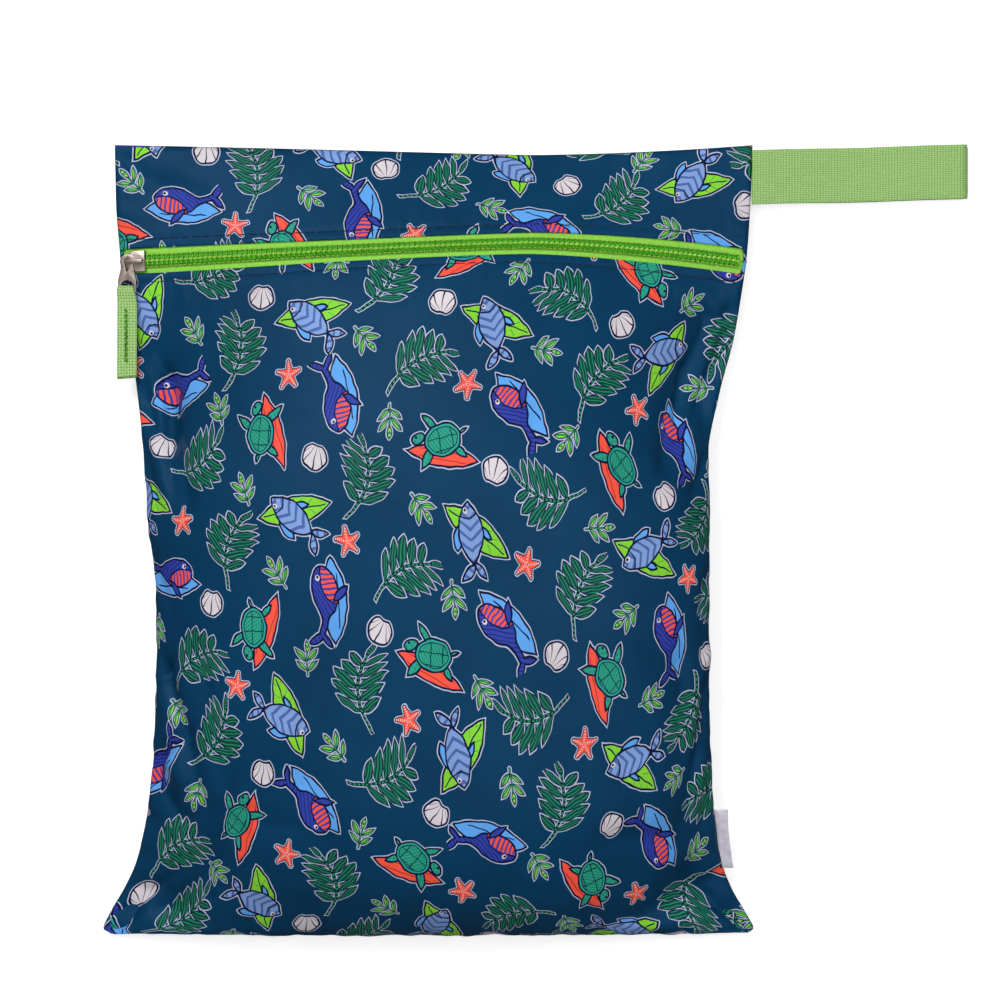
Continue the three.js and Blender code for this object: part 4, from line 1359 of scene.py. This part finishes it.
def tab_placed(u, v):
    spot, run = smooth_route(tab_route, v)
    along, out = spot[:, 0], spot[:, 1]
    in_slot = np.exp(-((out - slot_level) / 0.0013) ** 4) * (along > -0.0130)
    near_slot = np.exp(-((along - slot_up) / 0.0050) ** 2)
    half = tab_half - slot_squeeze * near_slot - bar_squeeze * in_slot
    x = (u - 0.5) * 2 * half - slot_shift * near_slot - layer_shift * np.sign(slot_level - out)
    near_end = np.exp(-((along - tab_end) / 0.0030) ** 2)
    y = along + tab_skew * near_end * (u - 0.5)
    pattern = np.stack([(u - 0.5) * 2 * tab_half * cord_narrowing, run], axis=1)
    return pull_place(x, y, out), pattern


pull_tab = laid_grid("tab_webbing", 24, 150, tab_placed, tab_wall, 1)
pull_tab.data.materials.append(webbing.material)
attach(pull_tab, "pull")
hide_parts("pull_tab")

tab_stitch = thread_finish("tab_stitch", 0.6, (0.100, 0.380, 0.030), (0.170, 0.480, 0.055), 1400, 1)
tab_stitches, tab_stitch_from, tab_stitch_aside, tab_stitch_level = 19, -0.0220, 0.00045, 0.00578
tab_stitch_size = (0.00050, 0.00050, 0.00028)
rows = []
for x, shift in ((-tab_stitch_aside, 0.0), (tab_stitch_aside, pick_pitch / 2)):
    down = np.arange(tab_stitches) * -pick_pitch + tab_stitch_from - shift
    rows.append(np.stack([np.full(tab_stitches, x), down], axis=1))
stitch_at = np.concatenate(rows)
middles = pull_place(stitch_at[:, 0], stitch_at[:, 1], np.full(len(stitch_at), tab_stitch_level))
ways = (np.repeat(way[None], len(middles), axis=0) for way in (pull_side, pull_down, pull_out))
frames = bead_frames(tab_stitch_size, *ways)
beads("tab_stitches", middles, frames, tab_stitch, body="pull")

# Hang strap. A length of 25 mm ribbed webbing is folded into a flat loop, and its two ends are sewn
# into the right side seam below the top corner.
strap_width, strap_length, strap_wall, strap_gap = 0.025, 0.099, 0.0013, 0.0056
strap_from_top, strap_rise, strap_settles = 0.0024, 1.65, 0.52
strap_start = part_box("hang_strap")[0][0]
strap_middle = bag_height / 2 - strap_from_top - strap_width / 2
strap_cloth = np.array([1 - (strap_from_top + strap_width / 2) / bag_height])
strap_level = float(section_value("seam", strap_cloth)[0]) * bag_thickness
strap_turn = strap_gap / 2 + strap_wall / 2
strap_straight = 1 - (strap_turn + strap_wall / 2) / strap_length


def strap_route():
    """The webbing's middle line, out along the upper layer, round the fold and back below."""
    def layer(share, side):
        settled = np.minimum(1, share / strap_settles)
        laid_level = strap_wall + strap_gap / 2
        middle = strap_level + (laid_level - strap_level) * settled ** 2 * (3 - 2 * settled)
        opened = strap_gap / 2 * np.sin(math.pi / 2 * settled) ** 2
        level = middle + side * (np.maximum(panel_gap, opened) + strap_wall / 2)
        return np.stack([share * strap_length, level], axis=1)

    out = layer(np.linspace(0, strap_straight, 24), 1)
    angle = np.linspace(math.pi / 2, -math.pi / 2, 9)[1:-1]
    fold = np.stack([strap_straight * strap_length + strap_turn * np.cos(angle),
                     strap_wall + strap_gap / 2 + strap_turn * np.sin(angle)], axis=1)
    start = layer(np.array([0.0]), 1) + (-0.0009, 0.0)
    end = layer(np.array([0.0]), -1) + (-0.0009, 0.0)
    return np.concatenate([start, out, fold, layer(np.linspace(strap_straight, 0, 24), -1), end])


strap_line = strap_route()


def webbing_rib(across, along):
    """Height of the webbing's ribs, in rows across it and along it."""
    cords = 0.00007 * np.abs(np.sin(math.pi * across / cord_pitch))
    return cords + 0.00005 * np.abs(np.sin(math.pi * along / pick_pitch))


def strap_placed(u, v):
    spot, run = smooth_route(strap_line, v)
    ahead, _ = smooth_route(strap_line, np.minimum(v + 0.002, 1))
    behind, _ = smooth_route(strap_line, np.maximum(v - 0.002, 0))
    along = unit(ahead - behind)
    out = np.stack([-along[:, 1], along[:, 0]], axis=1)
    aside = (u - 0.5) * strap_width
    rib = webbing_rib(aside, run)
    edge = -0.0003 * (2 * np.abs(u - 0.5)) ** 14
    middle_share = np.clip(spot[:, 0] / strap_length, 0, 1)
    wavy = 0.00018 * np.sin(spot[:, 0] * 75 + 1.0) * np.sin(math.pi * middle_share)
    spot = spot + out * (strap_wall / 2 - 0.0001 + rib + edge)[:, None]
    x = strap_start + 0.0002 + spot[:, 0]
    y = strap_middle + aside + spot[:, 0] * math.tan(math.radians(strap_rise)) + wavy
    return np.stack([x, y, np.maximum(spot[:, 1], 0)], axis=1), np.stack([aside, run], axis=1)


hang_strap = laid_grid("strap_webbing", 88, 300, strap_placed, 0.0012, 1)
hang_strap.data.materials.append(webbing.material)
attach(hang_strap, "bag")
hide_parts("hang_strap")

# Side label. A short piece of lilac satin ribbon is folded double and caught in the right side seam
# near the bottom. It carries no words.
label_up, label_height, label_tuck, label_open = 0.036, 0.027, 0.0014, 0.00042
label_reach_low, label_reach_more = 0.0046, 0.0018


def label_placed(u, v):
    """u runs out from the seam and back, v up the label."""
    cloth = (label_up + label_height * v) / bag_height
    seam = cloth_frame("front", np.ones_like(cloth), cloth)[0]
    out_by = label_reach_low + label_reach_more * v
    fold = 1 - np.abs(2 * u - 1)
    reach = -label_tuck + (out_by + label_tuck) * np.sin(fold * math.pi / 2) ** 0.9
    side = np.sign(0.5 - u) * label_open * np.minimum(1, (1 - fold) * 6) ** 0.5
    curl = 0.0006 * fold ** 2 * np.sin(v * 3.0 + 0.4)
    spots = np.stack([seam[:, 0] + reach, seam[:, 1], seam[:, 2] + side + curl], axis=1)
    return spots, np.stack([reach, label_height * v], axis=1)


label_satin = Finish("label_satin", 0.36, sheen=0.2)
cut = label_satin.pattern()
threads = label_satin.effect(weave, Pattern=cut, Threads_Across=4200.0, Threads_Up=2600.0)
colour = label_satin.mottled((0.46, 0.43, 0.50), (0.60, 0.57, 0.65), cut, 220, 2)
label_satin.join(Base_Color=colour, Normal=label_satin.bump(threads["Height"], 0.00006, 0.5))
side_label = laid_grid("label_ribbon", 28, 36, label_placed, 0.00025, 0)
side_label.data.materials.append(label_satin.material)
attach(side_label, "bag")
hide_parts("side_label")
